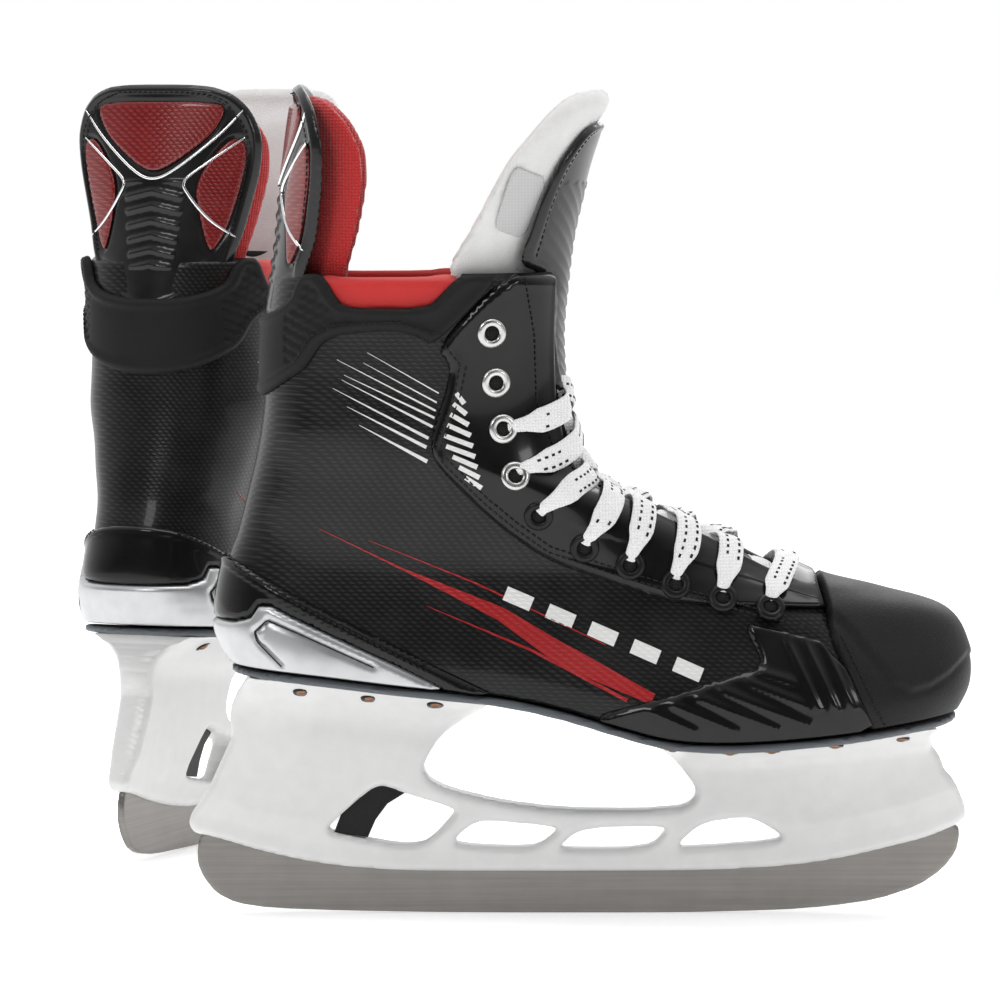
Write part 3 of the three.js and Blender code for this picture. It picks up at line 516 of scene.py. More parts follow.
def make_looks():
    """Every finish of the skates."""
    paint = bpy.context.scene.skates_colors
    make_look("woven_shell", paint.shell, paint.shell_light, 0.32, weave_height, 0.22, coat=0.15)
    make_look("patent_black", paint.facing, paint.facing_light, 0.2, smooth_height, 0.05, coat=0.3)
    make_look("grained_black", (0.006, 0.006, 0.006), (0.014, 0.014, 0.014), 0.5, grain_height, 0.6)
    make_look("matte_black", (0.007, 0.007, 0.007), (0.014, 0.014, 0.014), 0.62, grain_height, 0.35)
    make_look("guard_shell", (0.006, 0.006, 0.006), (0.014, 0.014, 0.014), 0.3, smooth_height, 0.08, coat=0.4)
    make_look("guard_red", (0.16, 0.004, 0.004), (0.26, 0.008, 0.008), 0.3, weave_height, 0.35, coat=0.5)
    make_look("stripe_red", paint.sweep, paint.sweep_light, 0.35, weave_height, 0.3)
    make_look("stripe_white", (0.72, 0.72, 0.71), (0.82, 0.82, 0.81), 0.35, weave_height, 0.3)
    make_look("chrome_line", (0.85, 0.85, 0.86), (0.95, 0.95, 0.96), 0.16, smooth_height, 0.05, metallic=1.0)
    make_look("heel_silver", (0.5, 0.51, 0.52), (0.62, 0.63, 0.64), 0.36, smooth_height, 0.06, metallic=0.8,
              coat=0.2)
    make_look("holder_white", paint.holder, paint.holder_light, 0.33, smooth_height, 0.04, coat=0.2)
    make_look("runner_steel", (0.2, 0.19, 0.18), (0.3, 0.285, 0.27), 0.36, brushed_height, 0.1, metallic=1.0)
    make_look("pin_steel", (0.4, 0.4, 0.4), (0.55, 0.55, 0.55), 0.3, brushed_height, 0.2, metallic=1.0)
    make_look("eyelet_silver", (0.5, 0.5, 0.49), (0.66, 0.66, 0.65), 0.28, smooth_height, 0.05, metallic=1.0)
    make_look("eyelet_black", (0.015, 0.015, 0.015), (0.03, 0.03, 0.03), 0.3, smooth_height, 0.05,
              metallic=0.6)
    make_look("rivet_copper", (0.22, 0.12, 0.08), (0.34, 0.19, 0.12), 0.3, smooth_height, 0.05, metallic=1.0)
    make_look("sole_grey", (0.07, 0.08, 0.09), (0.1, 0.112, 0.125), 0.5, grain_height, 0.3)
    make_look("trigger_black", (0.008, 0.008, 0.008), (0.016, 0.016, 0.016), 0.4, grain_height, 0.25)
    make_look("knit_red", paint.lining, paint.lining_light, 0.85, knit_height, 0.8, sheen=0.3, spread=35)
    make_look("foam_red", (0.5, 0.01, 0.008), (0.62, 0.016, 0.014), 0.6, felt_height, 0.4, sheen=0.2)
    make_look("felt_white", (0.72, 0.715, 0.71), (0.86, 0.855, 0.85), 0.95, felt_height, 0.9, sheen=0.5,
              spread=120)
    make_look("lace_white", paint.lace, paint.lace_light, 0.85, knit_height, 0.8, sheen=0.2)
    make_look("thread_black", (0.01, 0.01, 0.01), (0.03, 0.03, 0.03), 0.7, knit_height, 0.3)
    make_look("fleck_black", (0.008, 0.008, 0.008), (0.02, 0.02, 0.02), 0.8, knit_height, 0.4)
    make_look("label_grey", (0.5, 0.5, 0.5), (0.58, 0.58, 0.58), 0.5, knit_height, 0.3)


def object_look(name):
    """The same finish for a CAD part, which carries no place attribute of its own."""
    twin = LOOKS[name].copy()
    twin.name = name + "_object"
    tree = twin.node_tree
    old = next(n for n in tree.nodes if n.type == "ATTRIBUTE")
    new = tree.nodes.new("ShaderNodeTexCoord")
    for link in list(old.outputs["Vector"].links):
        tree.links.new(new.outputs["Object"], link.to_socket)
    tree.nodes.remove(old)
    LOOKS[twin.name] = twin


# ---- Small builders ---------------------------------------------------------------------------------
def sweep(rings):
    """A closed tube through rings of points."""
    rings = np.asarray(rings, float)
    rows, n = rings.shape[:2]
    index = np.arange(rows * n).reshape(rows, n)
    nxt = np.roll(index, -1, 1)
    quads = np.stack([index[:-1], nxt[:-1], nxt[1:], index[1:]], -1)
    faces = [tuple(quad) for quad in quads.reshape(-1, 4).tolist()]
    faces += [tuple(index[0][::-1].tolist()), tuple(index[-1].tolist())]
    return rings.reshape(-1, 3), faces


def joined(parts):
    """Several (verts, faces) as one."""
    verts, faces, start = [], [], 0
    for v, f in parts:
        verts.append(np.asarray(v, float))
        faces += [tuple(int(i) + start for i in face) for face in (f.tolist() if hasattr(f, "tolist") else f)]
        start += len(v)
    return np.concatenate(verts), faces


def side_band(line, widths, side, offset, thick=0.18, samples=14):
    """A thin band that lies on the boot along a side-view line, tapering through the given widths."""
    line = np.array(line, float)
    along = np.concatenate([[0], np.cumsum(np.linalg.norm(np.diff(line, axis=0), axis=1))])
    t = np.linspace(0, along[-1], samples)
    x, z = np.interp(t, along, line[:, 0]), np.interp(t, along, line[:, 1])
    w = np.interp(t, np.linspace(0, along[-1], len(widths)), widths) / 2
    dx, dz = np.gradient(x), np.gradient(z)
    length = np.hypot(dx, dz)
    nx, nz = -dz / length, dx / length
    corners = []
    for sign, lift in ((1, -0.25), (1, thick), (-1, thick), (-1, -0.25)):
        corners.append(side_point(x + sign * nx * w, z + sign * nz * w, side, offset + lift)[0])
    return sweep(np.stack(corners, 1))


def side_line(line, side, offset, spacing=1.2):
    """Points on the boot along a side-view line."""
    line = np.array(line, float)
    along = np.concatenate([[0], np.cumsum(np.linalg.norm(np.diff(line, axis=0), axis=1))])
    t = np.linspace(0, along[-1], max(3, int(along[-1] / spacing)))
    return side_point(np.interp(t, along, line[:, 0]), np.interp(t, along, line[:, 1]), side, offset)[0]


def inset_line(line, distance):
    """A side-view line moved sideways."""
    p = np.array(line, float)
    d = np.gradient(p, axis=0)
    d /= np.maximum(np.linalg.norm(d, axis=1, keepdims=True), 1e-9)
    return p + distance * np.stack([-d[:, 1], d[:, 0]], 1)


def node_tree(name, sockets):
    tree = bpy.data.node_groups.new(name, "GeometryNodeTree")
    tree.interface.new_socket("Geometry", in_out="INPUT", socket_type="NodeSocketGeometry")
    tree.interface.new_socket("Geometry", in_out="OUTPUT", socket_type="NodeSocketGeometry")
    for label, kind in sockets:
        tree.interface.new_socket(label, in_out="INPUT", socket_type=kind)
    return tree, tree.nodes.new("NodeGroupInput"), tree.nodes.new("NodeGroupOutput")


def end_tree(tree, source, out, instances):
    real = tree.nodes.new("GeometryNodeRealizeInstances")
    paint = tree.nodes.new("GeometryNodeSetMaterial")
    tree.links.new(instances, real.inputs[0])
    tree.links.new(real.outputs[0], paint.inputs["Geometry"])
    tree.links.new(source.outputs["Material"], paint.inputs["Material"])
    tree.links.new(paint.outputs[0], out.inputs[0])


def stitch_tree():
    """Stitches at an even pitch along curves."""
    tree, source, out = node_tree("stitches", [("Pitch", "NodeSocketFloat"), ("Stitch", "NodeSocketObject"),
                                               ("Material", "NodeSocketMaterial")])
    points = tree.nodes.new("GeometryNodeCurveToPoints")
    points.mode = "LENGTH"
    place = tree.nodes.new("GeometryNodeInstanceOnPoints")
    turn = tree.nodes.new("FunctionNodeAlignRotationToVector")
    turn.axis = "Z"
    shape = tree.nodes.new("GeometryNodeObjectInfo")
    link = tree.links.new
    link(source.outputs["Geometry"], points.inputs["Curve"])
    link(source.outputs["Pitch"], points.inputs["Length"])
    link(points.outputs["Points"], place.inputs["Points"])
    link(points.outputs["Tangent"], turn.inputs["Vector"])
    link(turn.outputs[0], place.inputs["Rotation"])
    link(source.outputs["Stitch"], shape.inputs["Object"])
    link(shape.outputs["Geometry"], place.inputs["Instance"])
    end_tree(tree, source, out, place.outputs[0])
    return tree


def stud_tree():
    """A small part on each point, aimed along the point's aim."""
    tree, source, out = node_tree("studs", [("Stud", "NodeSocketObject"), ("Material", "NodeSocketMaterial")])
    place = tree.nodes.new("GeometryNodeInstanceOnPoints")
    turn = tree.nodes.new("FunctionNodeAlignRotationToVector")
    turn.axis = "Z"
    aim = tree.nodes.new("GeometryNodeInputNamedAttribute")
    aim.data_type = "FLOAT_VECTOR"
    aim.inputs["Name"].default_value = "aim"
    shape = tree.nodes.new("GeometryNodeObjectInfo")
    link = tree.links.new
    link(source.outputs["Geometry"], place.inputs["Points"])
    link(aim.outputs[0], turn.inputs["Vector"])
    link(turn.outputs[0], place.inputs["Rotation"])
    link(source.outputs["Stud"], shape.inputs["Object"])
    link(shape.outputs["Geometry"], place.inputs["Instance"])
    end_tree(tree, source, out, place.outputs[0])
    return tree


def run_tree(name, carrier, tree, values, material):
    """Runs a tree on a carrier object and returns its result as a plain mesh object."""
    modifier = carrier.modifiers.new("made", "NODES")
    modifier.node_group = tree
    for item in tree.interface.items_tree:
        if item.in_out == "INPUT" and item.name in values:
            modifier[item.identifier] = values[item.name]
    graph = bpy.context.evaluated_depsgraph_get()
    mesh = bpy.data.meshes.new_from_object(carrier.evaluated_get(graph))
    carrier.modifiers.remove(modifier)
    bpy.data.objects.remove(carrier)
    if not mesh.polygons:
        raise RuntimeError(f"{name}: the tree made no faces")
    mesh.materials.clear()
    mesh.materials.append(material)
    mesh.shade_smooth()
    own = np.zeros(len(mesh.vertices) * 3, np.float32)
    mesh.vertices.foreach_get("co", own)
    mesh.attributes.new("place", "FLOAT_VECTOR", "POINT").data.foreach_set("vector", own)
    piece = bpy.data.objects.new(name, mesh)
    bpy.context.scene.collection.objects.link(piece)
    return piece


def template(name, profile, sides):
    """A small lathed part about Z from (radius, height) points, in millimetres, as a pattern."""
    angles = np.arange(sides) * 2 * np.pi / sides
    rings = [[(r * math.cos(a), r * math.sin(a), h) for a in angles] for r, h in profile]
    verts, faces = sweep(rings)
    if profile[0] == profile[-1]:
        faces = faces[:-2]
    mesh = bpy.data.meshes.new(name)
    mesh.from_pydata((verts * MM).tolist(), [], faces)
    part = bpy.data.objects.new(name, mesh)
    bpy.context.scene.collection.objects.link(part)
    tidy_mesh(part)
    return part


def stitches(name, foot, lines, pitch, body="boot", length=1.9, radius=0.34, look="thread_black"):
    """Stitches along lines of points, in the right skate's frame."""
    shape = template(name + "_stitch", [(0.12, -length / 2), (radius, -length / 3), (radius, length / 3),
                                        (0.12, length / 2)], 6)
    curve = bpy.data.curves.new(name, "CURVE")
    curve.dimensions = "3D"
    for line in lines:
        points = to_foot(line, foot)
        spline = curve.splines.new("POLY")
        spline.points.add(len(points) - 1)
        spline.points.foreach_set("co", np.c_[points, np.ones(len(points))].ravel())
    carrier = bpy.data.objects.new(name + "_line", curve)
    bpy.context.scene.collection.objects.link(carrier)
    piece = run_tree(f"{foot}_{name}", carrier, stitch_tree(),
                     {"Pitch": pitch * MM, "Stitch": shape, "Material": LOOKS[look]}, LOOKS[look])
    bpy.data.objects.remove(shape)
    finish_piece(piece, foot, body)
    return piece


def studs(name, foot, points, aims, profile, look, sides=20, body="boot"):
    """Lathed studs at points, in the right skate's frame."""
    shape = template(name + "_stud", profile, sides)
    origin = to_foot(points, foot)
    aim = to_foot(np.asarray(points) + np.asarray(aims), foot) - origin
    mesh = bpy.data.meshes.new(name)
    mesh.from_pydata(origin.tolist(), [], [])
    aims_of_points = mesh.attributes.new("aim", "FLOAT_VECTOR", "POINT")
    aims_of_points.data.foreach_set("vector", (aim / MM).astype(np.float32).ravel())
    carrier = bpy.data.objects.new(name + "_points", mesh)
    bpy.context.scene.collection.objects.link(carrier)
    values = {"Stud": shape, "Material": LOOKS[look]}
    piece = run_tree(f"{foot}_{name}", carrier, stud_tree(), values, LOOKS[look])
    bpy.data.objects.remove(shape)
    finish_piece(piece, foot, body)
    return piece


# ---- Holder, runner and sole ------------------------------------------------------------------------
HOLDER_EDGE = [(-150, 29), (-145.5, 30.6), (-122.4, 24.2), (-99.3, 19.3), (-76.2, 17), (-49.3, 16.2),
               (8.5, 16.2), (47, 16.6), (77.8, 18.1), (100.9, 21.2), (124, 26.6), (135.5, 29.7), (150, 36)]
holder_edge = smooth_curve(HOLDER_EDGE)
RUNNER_EDGE = [(-145.5, 31), (-147, 25), (-146.8, 19), (-144.4, 13.5), (-139.7, 7.7), (-132, 3.8),
               (-118.6, 1.8), (-88, 0.7), (-35, 0), (35, 0), (78, 1), (97, 2.5), (116, 5.2), (132, 10.6),
               (141.3, 17.2), (146.3, 24), (147.5, 29.8), (147.2, 34)]
HOLDER_ENDS = [(149.6, 37.4), (149.4, 42.4), (145.2, 52), (141.3, 56), (139.4, 61.6), (136.3, 65.5),
               (135.5, 69.3), (138, 74)]
HOLDER_ARCH = [(28.5, 70.5), (29.7, 66.7), (33.5, 64.3), (39.3, 57.8), (45, 50.1), (45.8, 46.2), (43.9, 43.1),
               (39.3, 41.2), (23.9, 40.1), (-7, 40.5), (-30, 43.5), (-49.3, 48.2), (-57, 52), (-59.3, 55.9),
               (-58.9, 59.7), (-53.1, 69.3), (-41.6, 78.2), (-37.7, 80.5), (-34, 84.5)]
HOLDER_HEEL = [(-126, 93.6), (-133.2, 82.8), (-134, 75.1), (-133.2, 69.3), (-134.7, 65.5), (-143.6, 46.2),
               (-149.4, 38.5), (-150.1, 34.7), (-148.2, 31.6)]
WINDOWS = [
    [(-96.2, 33.5), (-94.5, 36), (-79.5, 49.2), (-74.3, 50.1), (-66.6, 47), (-47.7, 41.4), (-47.3, 38.6),
     (-57, 28.2), (-63, 26.7), (-70.5, 27), (-95, 31.5)],
    [(-46.2, 26.7), (-47.5, 29.4), (-41.5, 34.7), (-35.8, 36.6), (-14.6, 34.7), (-7.7, 33.5), (-9, 30.5),
     (-16.5, 25.4)],
    [(-6, 25.2), (-6.5, 26.9), (1.5, 33.5), (31.6, 34.3), (34.6, 32.6), (28.2, 25.3)],
    [(39.9, 25.8), (39.4, 28.2), (48.2, 35.7), (64.5, 37.8), (70, 36.2), (78.8, 30.8), (77.8, 28.1),
     (43, 25.6)],
]
SOLE_GAP = 3.6  # from the boot's sole line down to the holder
RIVETS = [(-106, 87.6), (-80, 85.3), (-54.7, 83), (36, 66.4), (58, 64.6), (74, 65.2), (98.2, 67.2),
          (123.6, 69.6)]
# A rivet's washer and head: finish, (radius, height) profile and lift over the holder.
RIVET_PARTS = (("eyelet_black", [(0.2, -0.6), (3.4, -0.6), (3.2, 0.25), (0.2, 0.25)], 0.0),
               ("rivet_copper", [(0.2, -0.6), (2.1, -0.6), (1.9, 0.5), (1.1, 0.95), (0.2, 1.1)], 0.1))
HOLDER_STEP = 1.15
HOLDER_CORNER = 2.6
SOLE_SEAT = 3  # depth under the sole where the holder's edge stays square
RUNNER_STEP = 0.9
RUNNER_HALF = 1.5
RUNNER_BEVEL = (0.8, 0.35)  # how far in it starts, and how deep it is
HOOKS = ((125, 134, 43), (-140, -131, 45))  # each hook's two ends in x, and its top
HOOK_HEIGHT = 18


def holder_half(x, z):
    """Half the holder's width: slim at the steel, flaring out to the sole on each tower."""
    drop = sole_top(x) - SOLE_GAP - z
    waist = np.interp(z - holder_edge(x), [0, 8, 16, 40], [4.6, 5.0, 6.6, 7.4])
    reach = np.where(x < 0, 27.0, 34.0)
    ends = np.clip(np.minimum(np.abs(x + 131) / 34, np.abs(x - 142) / 44), 0.0, 1.0)
    reach = reach * (0.62 + 0.38 * np.sqrt(np.clip(1 - (1 - ends) ** 2, 0, 1)))
    depth = np.where(x < 0, 20.0, 13.0)
    flare = np.clip(1 - drop / depth, 0, 1) ** 2.4
    return waist + (reach - waist) * flare


def holder_piece(foot):
    """The white holder, with its windows and arch."""
    xs = np.linspace(-146, 147, 60)
    top = lambda a, b: [(x, float(sole_top(x)) - SOLE_GAP) for x in np.linspace(a, b, 12)]
    outline = ([(x, float(holder_edge(x)) + 0.3) for x in xs] + HOLDER_ENDS[:-1] + top(138, 29) + HOLDER_ARCH
               + top(-35, -125) + HOLDER_HEEL)
    x, z = np.meshgrid(np.arange(-152, 152, HOLDER_STEP), np.arange(14, 96, HOLDER_STEP), indexing="ij")
    flat = np.stack([x.ravel(), z.ravel()], -1)
    keep = inside(flat, rounded(outline, 1, 0.2))
    for window in WINDOWS:
        keep = np.minimum(keep, -inside(flat, rounded(window, 3)))
    radius = HOLDER_CORNER
    sole_line = sole_top(flat[:, 0]) - SOLE_GAP - flat[:, 1]
    soft = np.where(sole_line < SOLE_SEAT, radius, keep)
    half = holder_half(flat[:, 0], flat[:, 1]) - radius * (1 - round_edge(soft, radius)) * (keep < radius)
    half = half.reshape(x.shape)
    verts, faces = skin(np.stack([x, -half, z], -1), np.stack([x, half, z], -1), keep.reshape(x.shape))
    add_mesh("holder", foot, verts, faces, LOOKS["holder_white"], replaces=["holder"], slot="white_plastic")
    for look, profile, lift in RIVET_PARTS:
        points, aims = [], []
        for rx, rz in RIVETS:
            for side in (-1, 1):
                h = float(holder_half(rx, rz))
                slope = (float(holder_half(rx, rz + 0.5)) - h) / 0.5
                points.append((rx, side * (h + lift), rz))
                aims.append((0, side, -slope))
        aims = np.array(aims) / np.linalg.norm(aims, axis=1, keepdims=True)
        studs("holder_" + look, foot, points, aims, profile, look)


def runner_piece(foot):
    """The steel runner, with a fine broken edge."""
    back = [(x, float(holder_edge(x)) + 5) for x in np.linspace(140, -138, 40)]
    hooks = []
    for a, b, top in HOOKS:
        foot_of_hook = top - HOOK_HEIGHT
        hooks.append([(a, foot_of_hook), (b, foot_of_hook), (b, top - 2), (b - 2, top), (a + 2, top),
                      (a, top - 2)])
    x, z = np.meshgrid(np.arange(-149, 149.6, RUNNER_STEP), np.arange(-RUNNER_STEP, 48, RUNNER_STEP),
                       indexing="ij")
    flat = np.stack([x.ravel(), z.ravel()], -1)
    keep = inside(flat, rounded(RUNNER_EDGE + back, 1, 0.2))
    for hook in hooks:
        keep = np.maximum(keep, inside(flat, np.array(hook, float)))
    reach, depth = RUNNER_BEVEL
    half = (RUNNER_HALF - depth * (1 - round_edge(keep, reach))).reshape(x.shape)
    verts, faces = skin(np.stack([x, -half, z], -1), np.stack([x, half, z], -1), keep.reshape(x.shape))
    add_mesh("runner", foot, verts, faces, LOOKS["runner_steel"], body="runner", replaces=["runner"],
             slot="steel")


SPRING = {"x": -114.0, "low": 51.2, "high": 61.8, "coil": 2.1, "wire": 0.42, "turns": 6}


def spring_piece(foot):
    """The trigger's coil spring, which the lever presses up into the holder."""
    t = np.linspace(0, 1, SPRING["turns"] * 18)
    turn = t * SPRING["turns"] * 2 * np.pi
    rise = np.clip((t - 0.08) / 0.84, 0, 1) * (SPRING["high"] - SPRING["low"]) + SPRING["low"]
    out = np.stack([np.cos(turn), np.sin(turn), 0 * t], -1)
    line = out * SPRING["coil"] + np.stack([0 * t + SPRING["x"], 0 * t, rise], -1)
    round_wire = np.arange(8) * np.pi / 4
    rings = line[:, None] + SPRING["wire"] * (out[:, None] * np.cos(round_wire)[:, None]
                                              + np.array([0, 0, 1.0]) * np.sin(round_wire)[:, None])
    spring = add_mesh("coil_spring", foot, *sweep(rings), LOOKS["pin_steel"], replaces=["trigger_spring"],
                      slot="steel")
    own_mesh(spring)


def sole_layer(name, foot, ring_offset, low, high, look, replaces, slot, crown=0.0, step=2.2):
    """A layer of the sole that follows the boot's underside."""
    ring = np.linspace(0, 2, 160, endpoint=False)
    outline = on_last(np.zeros_like(ring), ring, ring_offset)[:, :2]
    x, y = np.meshgrid(np.arange(-150, 155, step), np.arange(-60, 61, step), indexing="ij")
    keep = inside(np.stack([x.ravel(), y.ravel()], -1), outline)
    edge = round_edge(keep, (high - low) * 0.6).reshape(x.shape)
    middle, half = (low + high) / 2, (high - low) / 2
    z = sole_top(x)
    rise = crown * np.clip(1 - np.clip(keep / 14, 0, 1), 0, 1).reshape(x.shape) ** 2
    verts, faces = skin(np.stack([x, y, z + middle + half * edge + rise], -1),
                        np.stack([x, y, z + middle - half * edge], -1), keep.reshape(x.shape))
    return add_mesh(name, foot, verts, faces, LOOKS[look], replaces=replaces, slot=slot)


# ---- Boot --------------------------------------------------------------------------------------------
# Offsets from the last. The shell's wall lies inside it, and what is laid on the shell starts just over it.
SHELL_WALL = 2.5
LAID_ON = 0.2
TOE_CAP_TOP = 2.2
CUP_TOP = 2.6
BAND_TOP = 2.4
COLLAR_TOP = 2.8
EYESTAY_TOP = 2.5
FOREFOOT_TOP = 2.3
LINING_WALL = (-5.4, -2.8)
ROLL_WALL = (-6.2, -0.6)
TONGUE_WALL = (-12.2, -6.2)


def least(*tests):
    return lambda p: np.minimum.reduce([test(p) for test in tests])


def top_gap(points):
    """Above 0 outside the dip in the quarters' top edge, where the red roll shows."""
    dip = [(-98.8, 300), (-98.8, 247), (-93.8, 239.6), (-89.2, 235.3), (-56.7, 235.3), (-50.9, 240.4),
           (-43.2, 247), (-43.2, 300)]
    return -inside(points[:, [0, 2]], np.array(dip, float))


def shell_pieces(foot):
    """Quarters, toe cap, lining and the red roll at the top line."""
    behind_toe = side_keep([(-200, 60), (116.2, 60), (97, 109.7), (89.3, 140), (89.3, 300), (-200, 300)], 0)
    panel("quarters", foot, least(behind_toe, throat_keep, top_gap, sole_keep, top_keep), -SHELL_WALL, 0.0,
          LOOKS["woven_shell"], step=1.9, radius=1.2, replaces=["quarter_outer", "quarter_inner"],
          slot="shell_weave")

    crease = [(95.1, 119.4), (102.8, 111.7), (112.4, 100.1), (118.2, 93.6), (125.9, 89.7), (133.6, 91.2),
              (141.3, 95.1), (149, 101)]

    def toe_relief(p, keep):
        away = near_line(p[:, [0, 2]], crease)
        above = p[:, 2] > np.interp(p[:, 0], [c[0] for c in crease], [c[1] for c in crease])
        return np.where(above, 0.9, 0.0) * np.clip(away / 2.5, 0, 1) - 0.35 * np.exp(-(away / 1.4) ** 2)

    toe = side_keep([(116.5, 60), (97.3, 109.7), (89.6, 140), (200, 160), (200, 60)], 0)
    panel("toe_cap", foot, least(toe, sole_keep), -SHELL_WALL, TOE_CAP_TOP, LOOKS["grained_black"],
          step=1.1, rings=(0.6, 1.4), levels=(0, 6.2), radius=1.6, relief=toe_relief,
          replaces=["toe_cap"], slot="soft_black")

    lining = side_keep([(-200, 60), (40, 60), (40, 116), (-20, 122), (-60, 170), (-64, 236), (-200, 236)], 0)
    panel("lining", foot, least(lining, sole_keep), *LINING_WALL, LOOKS["knit_red"], step=3.2, radius=1.2,
          replaces=["lining"], slot="red_knit")
    roll = [(-103, 246), (-98.5, 248.4), (-93.5, 247.4), (-57, 247.4), (-50, 248.4), (-43.5, 248.4),
            (-43.5, 232), (-103, 232)]
    rolls = panel("top_roll", foot, side_keep(roll, 1), *ROLL_WALL, LOOKS["foam_red"], step=1.6,
                  radius=2.6, levels=(9, TOP_LEVEL), replaces=["top_roll_outer", "top_roll_inner"],
                  slot="red_foam")


CUP_GROOVE = [(-113, 99), (-122.5, 108.5), (-123.5, 112), (-118.5, 116.6), (-107, 112), (-78, 99)]


def heel_pieces(foot):
    """The silver cup, the black band over it and the ribbed ankle collar."""

    def cup_relief(p, keep):
        away = near_line(p[:, [0, 2]], CUP_GROOVE)
        fold = np.clip((112 - p[:, 2]) / 6, -1, 1)
        return -0.8 * np.exp(-(away / 1.1) ** 2) + 0.5 * (1 - fold**2) * (p[:, 0] < -120)

    cup = side_keep([(x, z - 0.3) for x, z in CUP_SEAM] + [(-41.6, 60), (-150, 60)], 1)
    panel("heel_cup", foot, least(cup, sole_keep), LAID_ON, CUP_TOP, LOOKS["heel_silver"], step=1.2,
          levels=(0, 3.4), radius=1.4, relief=cup_relief, replaces=["heel_cup"], slot="silver")

    def band_relief(p, keep):
        edge = near_line(p[:, [0, 2]], HEEL_SEAM)
        return 0.55 * np.exp(-((edge - 2.2) / 1.5) ** 2)

    band = side_keep(HEEL_SEAM + [(-41.6, 83)] + CUP_SEAM[::-1], 1)
    panel("heel_band", foot, least(band, sole_keep), LAID_ON, BAND_TOP, LOOKS["patent_black"], step=1.2,
          levels=(0, 4.6), radius=1.6, relief=band_relief, replaces=["heel_band"], slot="gloss_black")

    def collar_relief(p, keep):
        x, y, z = p.T
        along = x * 0.45 + z * 0.9
        ribbed = np.clip((keep - 3) / 1.5, 0, 1) * (x > -112) * (x < -86) * (np.abs(y) > 12)
        groove = 0.75 * np.clip(np.cos(along * 2 * np.pi / 3.6), 0, 1) ** 0.7
        rim = 0.5 * np.exp(-((keep - 2.4) / 0.9) ** 2)
        return rim - groove * ribbed - 0.3 * np.clip((keep - 3.4) / 1.2, 0, 1)

    panel("ankle_collar", foot, least(side_keep(COLLAR, 2), top_keep), LAID_ON, COLLAR_TOP,
          LOOKS["matte_black"], step=0.95, levels=(7.4, TOP_LEVEL), radius=1.5, relief=collar_relief,
          replaces=["ankle_collar"], slot="soft_black")


def facing_pieces(foot):
    """The eyestays and the ribbed forefoot panels."""
    def eyestay_relief(p, keep):
        upper = p[:, 0] * 0.3 + p[:, 2] > 152
        return np.where(upper, 0.2, 0.0) + 0.3 * np.exp(-((keep - 1.8) / 1.2) ** 2)

    split = lambda p: np.abs(p[:, 1]) - 0.15
    panel("eyestays", foot, least(side_keep(EYESTAY, 2), throat_keep, split, top_keep), LAID_ON, EYESTAY_TOP,
          LOOKS["patent_black"], step=1.25, levels=(3.4, TOP_LEVEL), rings=(0.3, 1.7), radius=1.8,
          relief=eyestay_relief, replaces=["eyestay_outer", "eyestay_inner"], slot="gloss_black")

    ribs = [((68.9, 98.2), (89.3, 92.4)), ((63.5, 95.1), (96.3, 82)), ((53.9, 92), (85.5, 78.9)),
            ((45, 89.3), (73.9, 77.4)), ((35.4, 86.6), (58.5, 76.6)), ((27, 83.9), (43.1, 76.6))]

    def forefoot_relief(p, keep):
        flat = p[:, [0, 2]]
        rise = np.zeros(len(p))
        for rib in ribs:
            rise = np.maximum(rise, np.exp(-(near_line(flat, rib) / 1.5) ** 2))
        seam = (flat[:, 0] - np.interp(flat[:, 1], [69, 109.2], [116.2, 97])) / 1.09
        bars = sum(np.exp(-((seam + back) / 1.3) ** 2) for back in (5, 11, 17))
        return 0.9 * rise * np.clip((-seam - 19) / 3, 0, 1) + 0.7 * bars * (flat[:, 1] > 84)

    panel("forefoot_overlays", foot, least(side_keep(FOREFOOT, 1), sole_keep), LAID_ON, FOREFOOT_TOP,
          LOOKS["patent_black"], step=0.95, levels=(0, 4.2), rings=(0.35, 1.65), radius=1.5,
          relief=forefoot_relief, replaces=["forefoot_overlay_outer", "forefoot_overlay_inner"],
          slot="gloss_black")


PRINT_LIFT = 0.12
EYELET_OFFSET = 2.85
STREAKS = [((-80.1, 218.7), (-53.1, 203.3)), ((-81.6, 214.8), (-53.9, 199.8)), ((-91.6, 216), (-54.3, 196.7)),
           ((-88.9, 210.2), (-54.7, 194)), ((-89.7, 208.3), (-55.4, 190.6)), ((-93.2, 205.2), (-57, 186.3)),
           ((-87.8, 198.3), (-57.8, 182.9)), ((-83.2, 191.3), (-57.5, 177.5))]


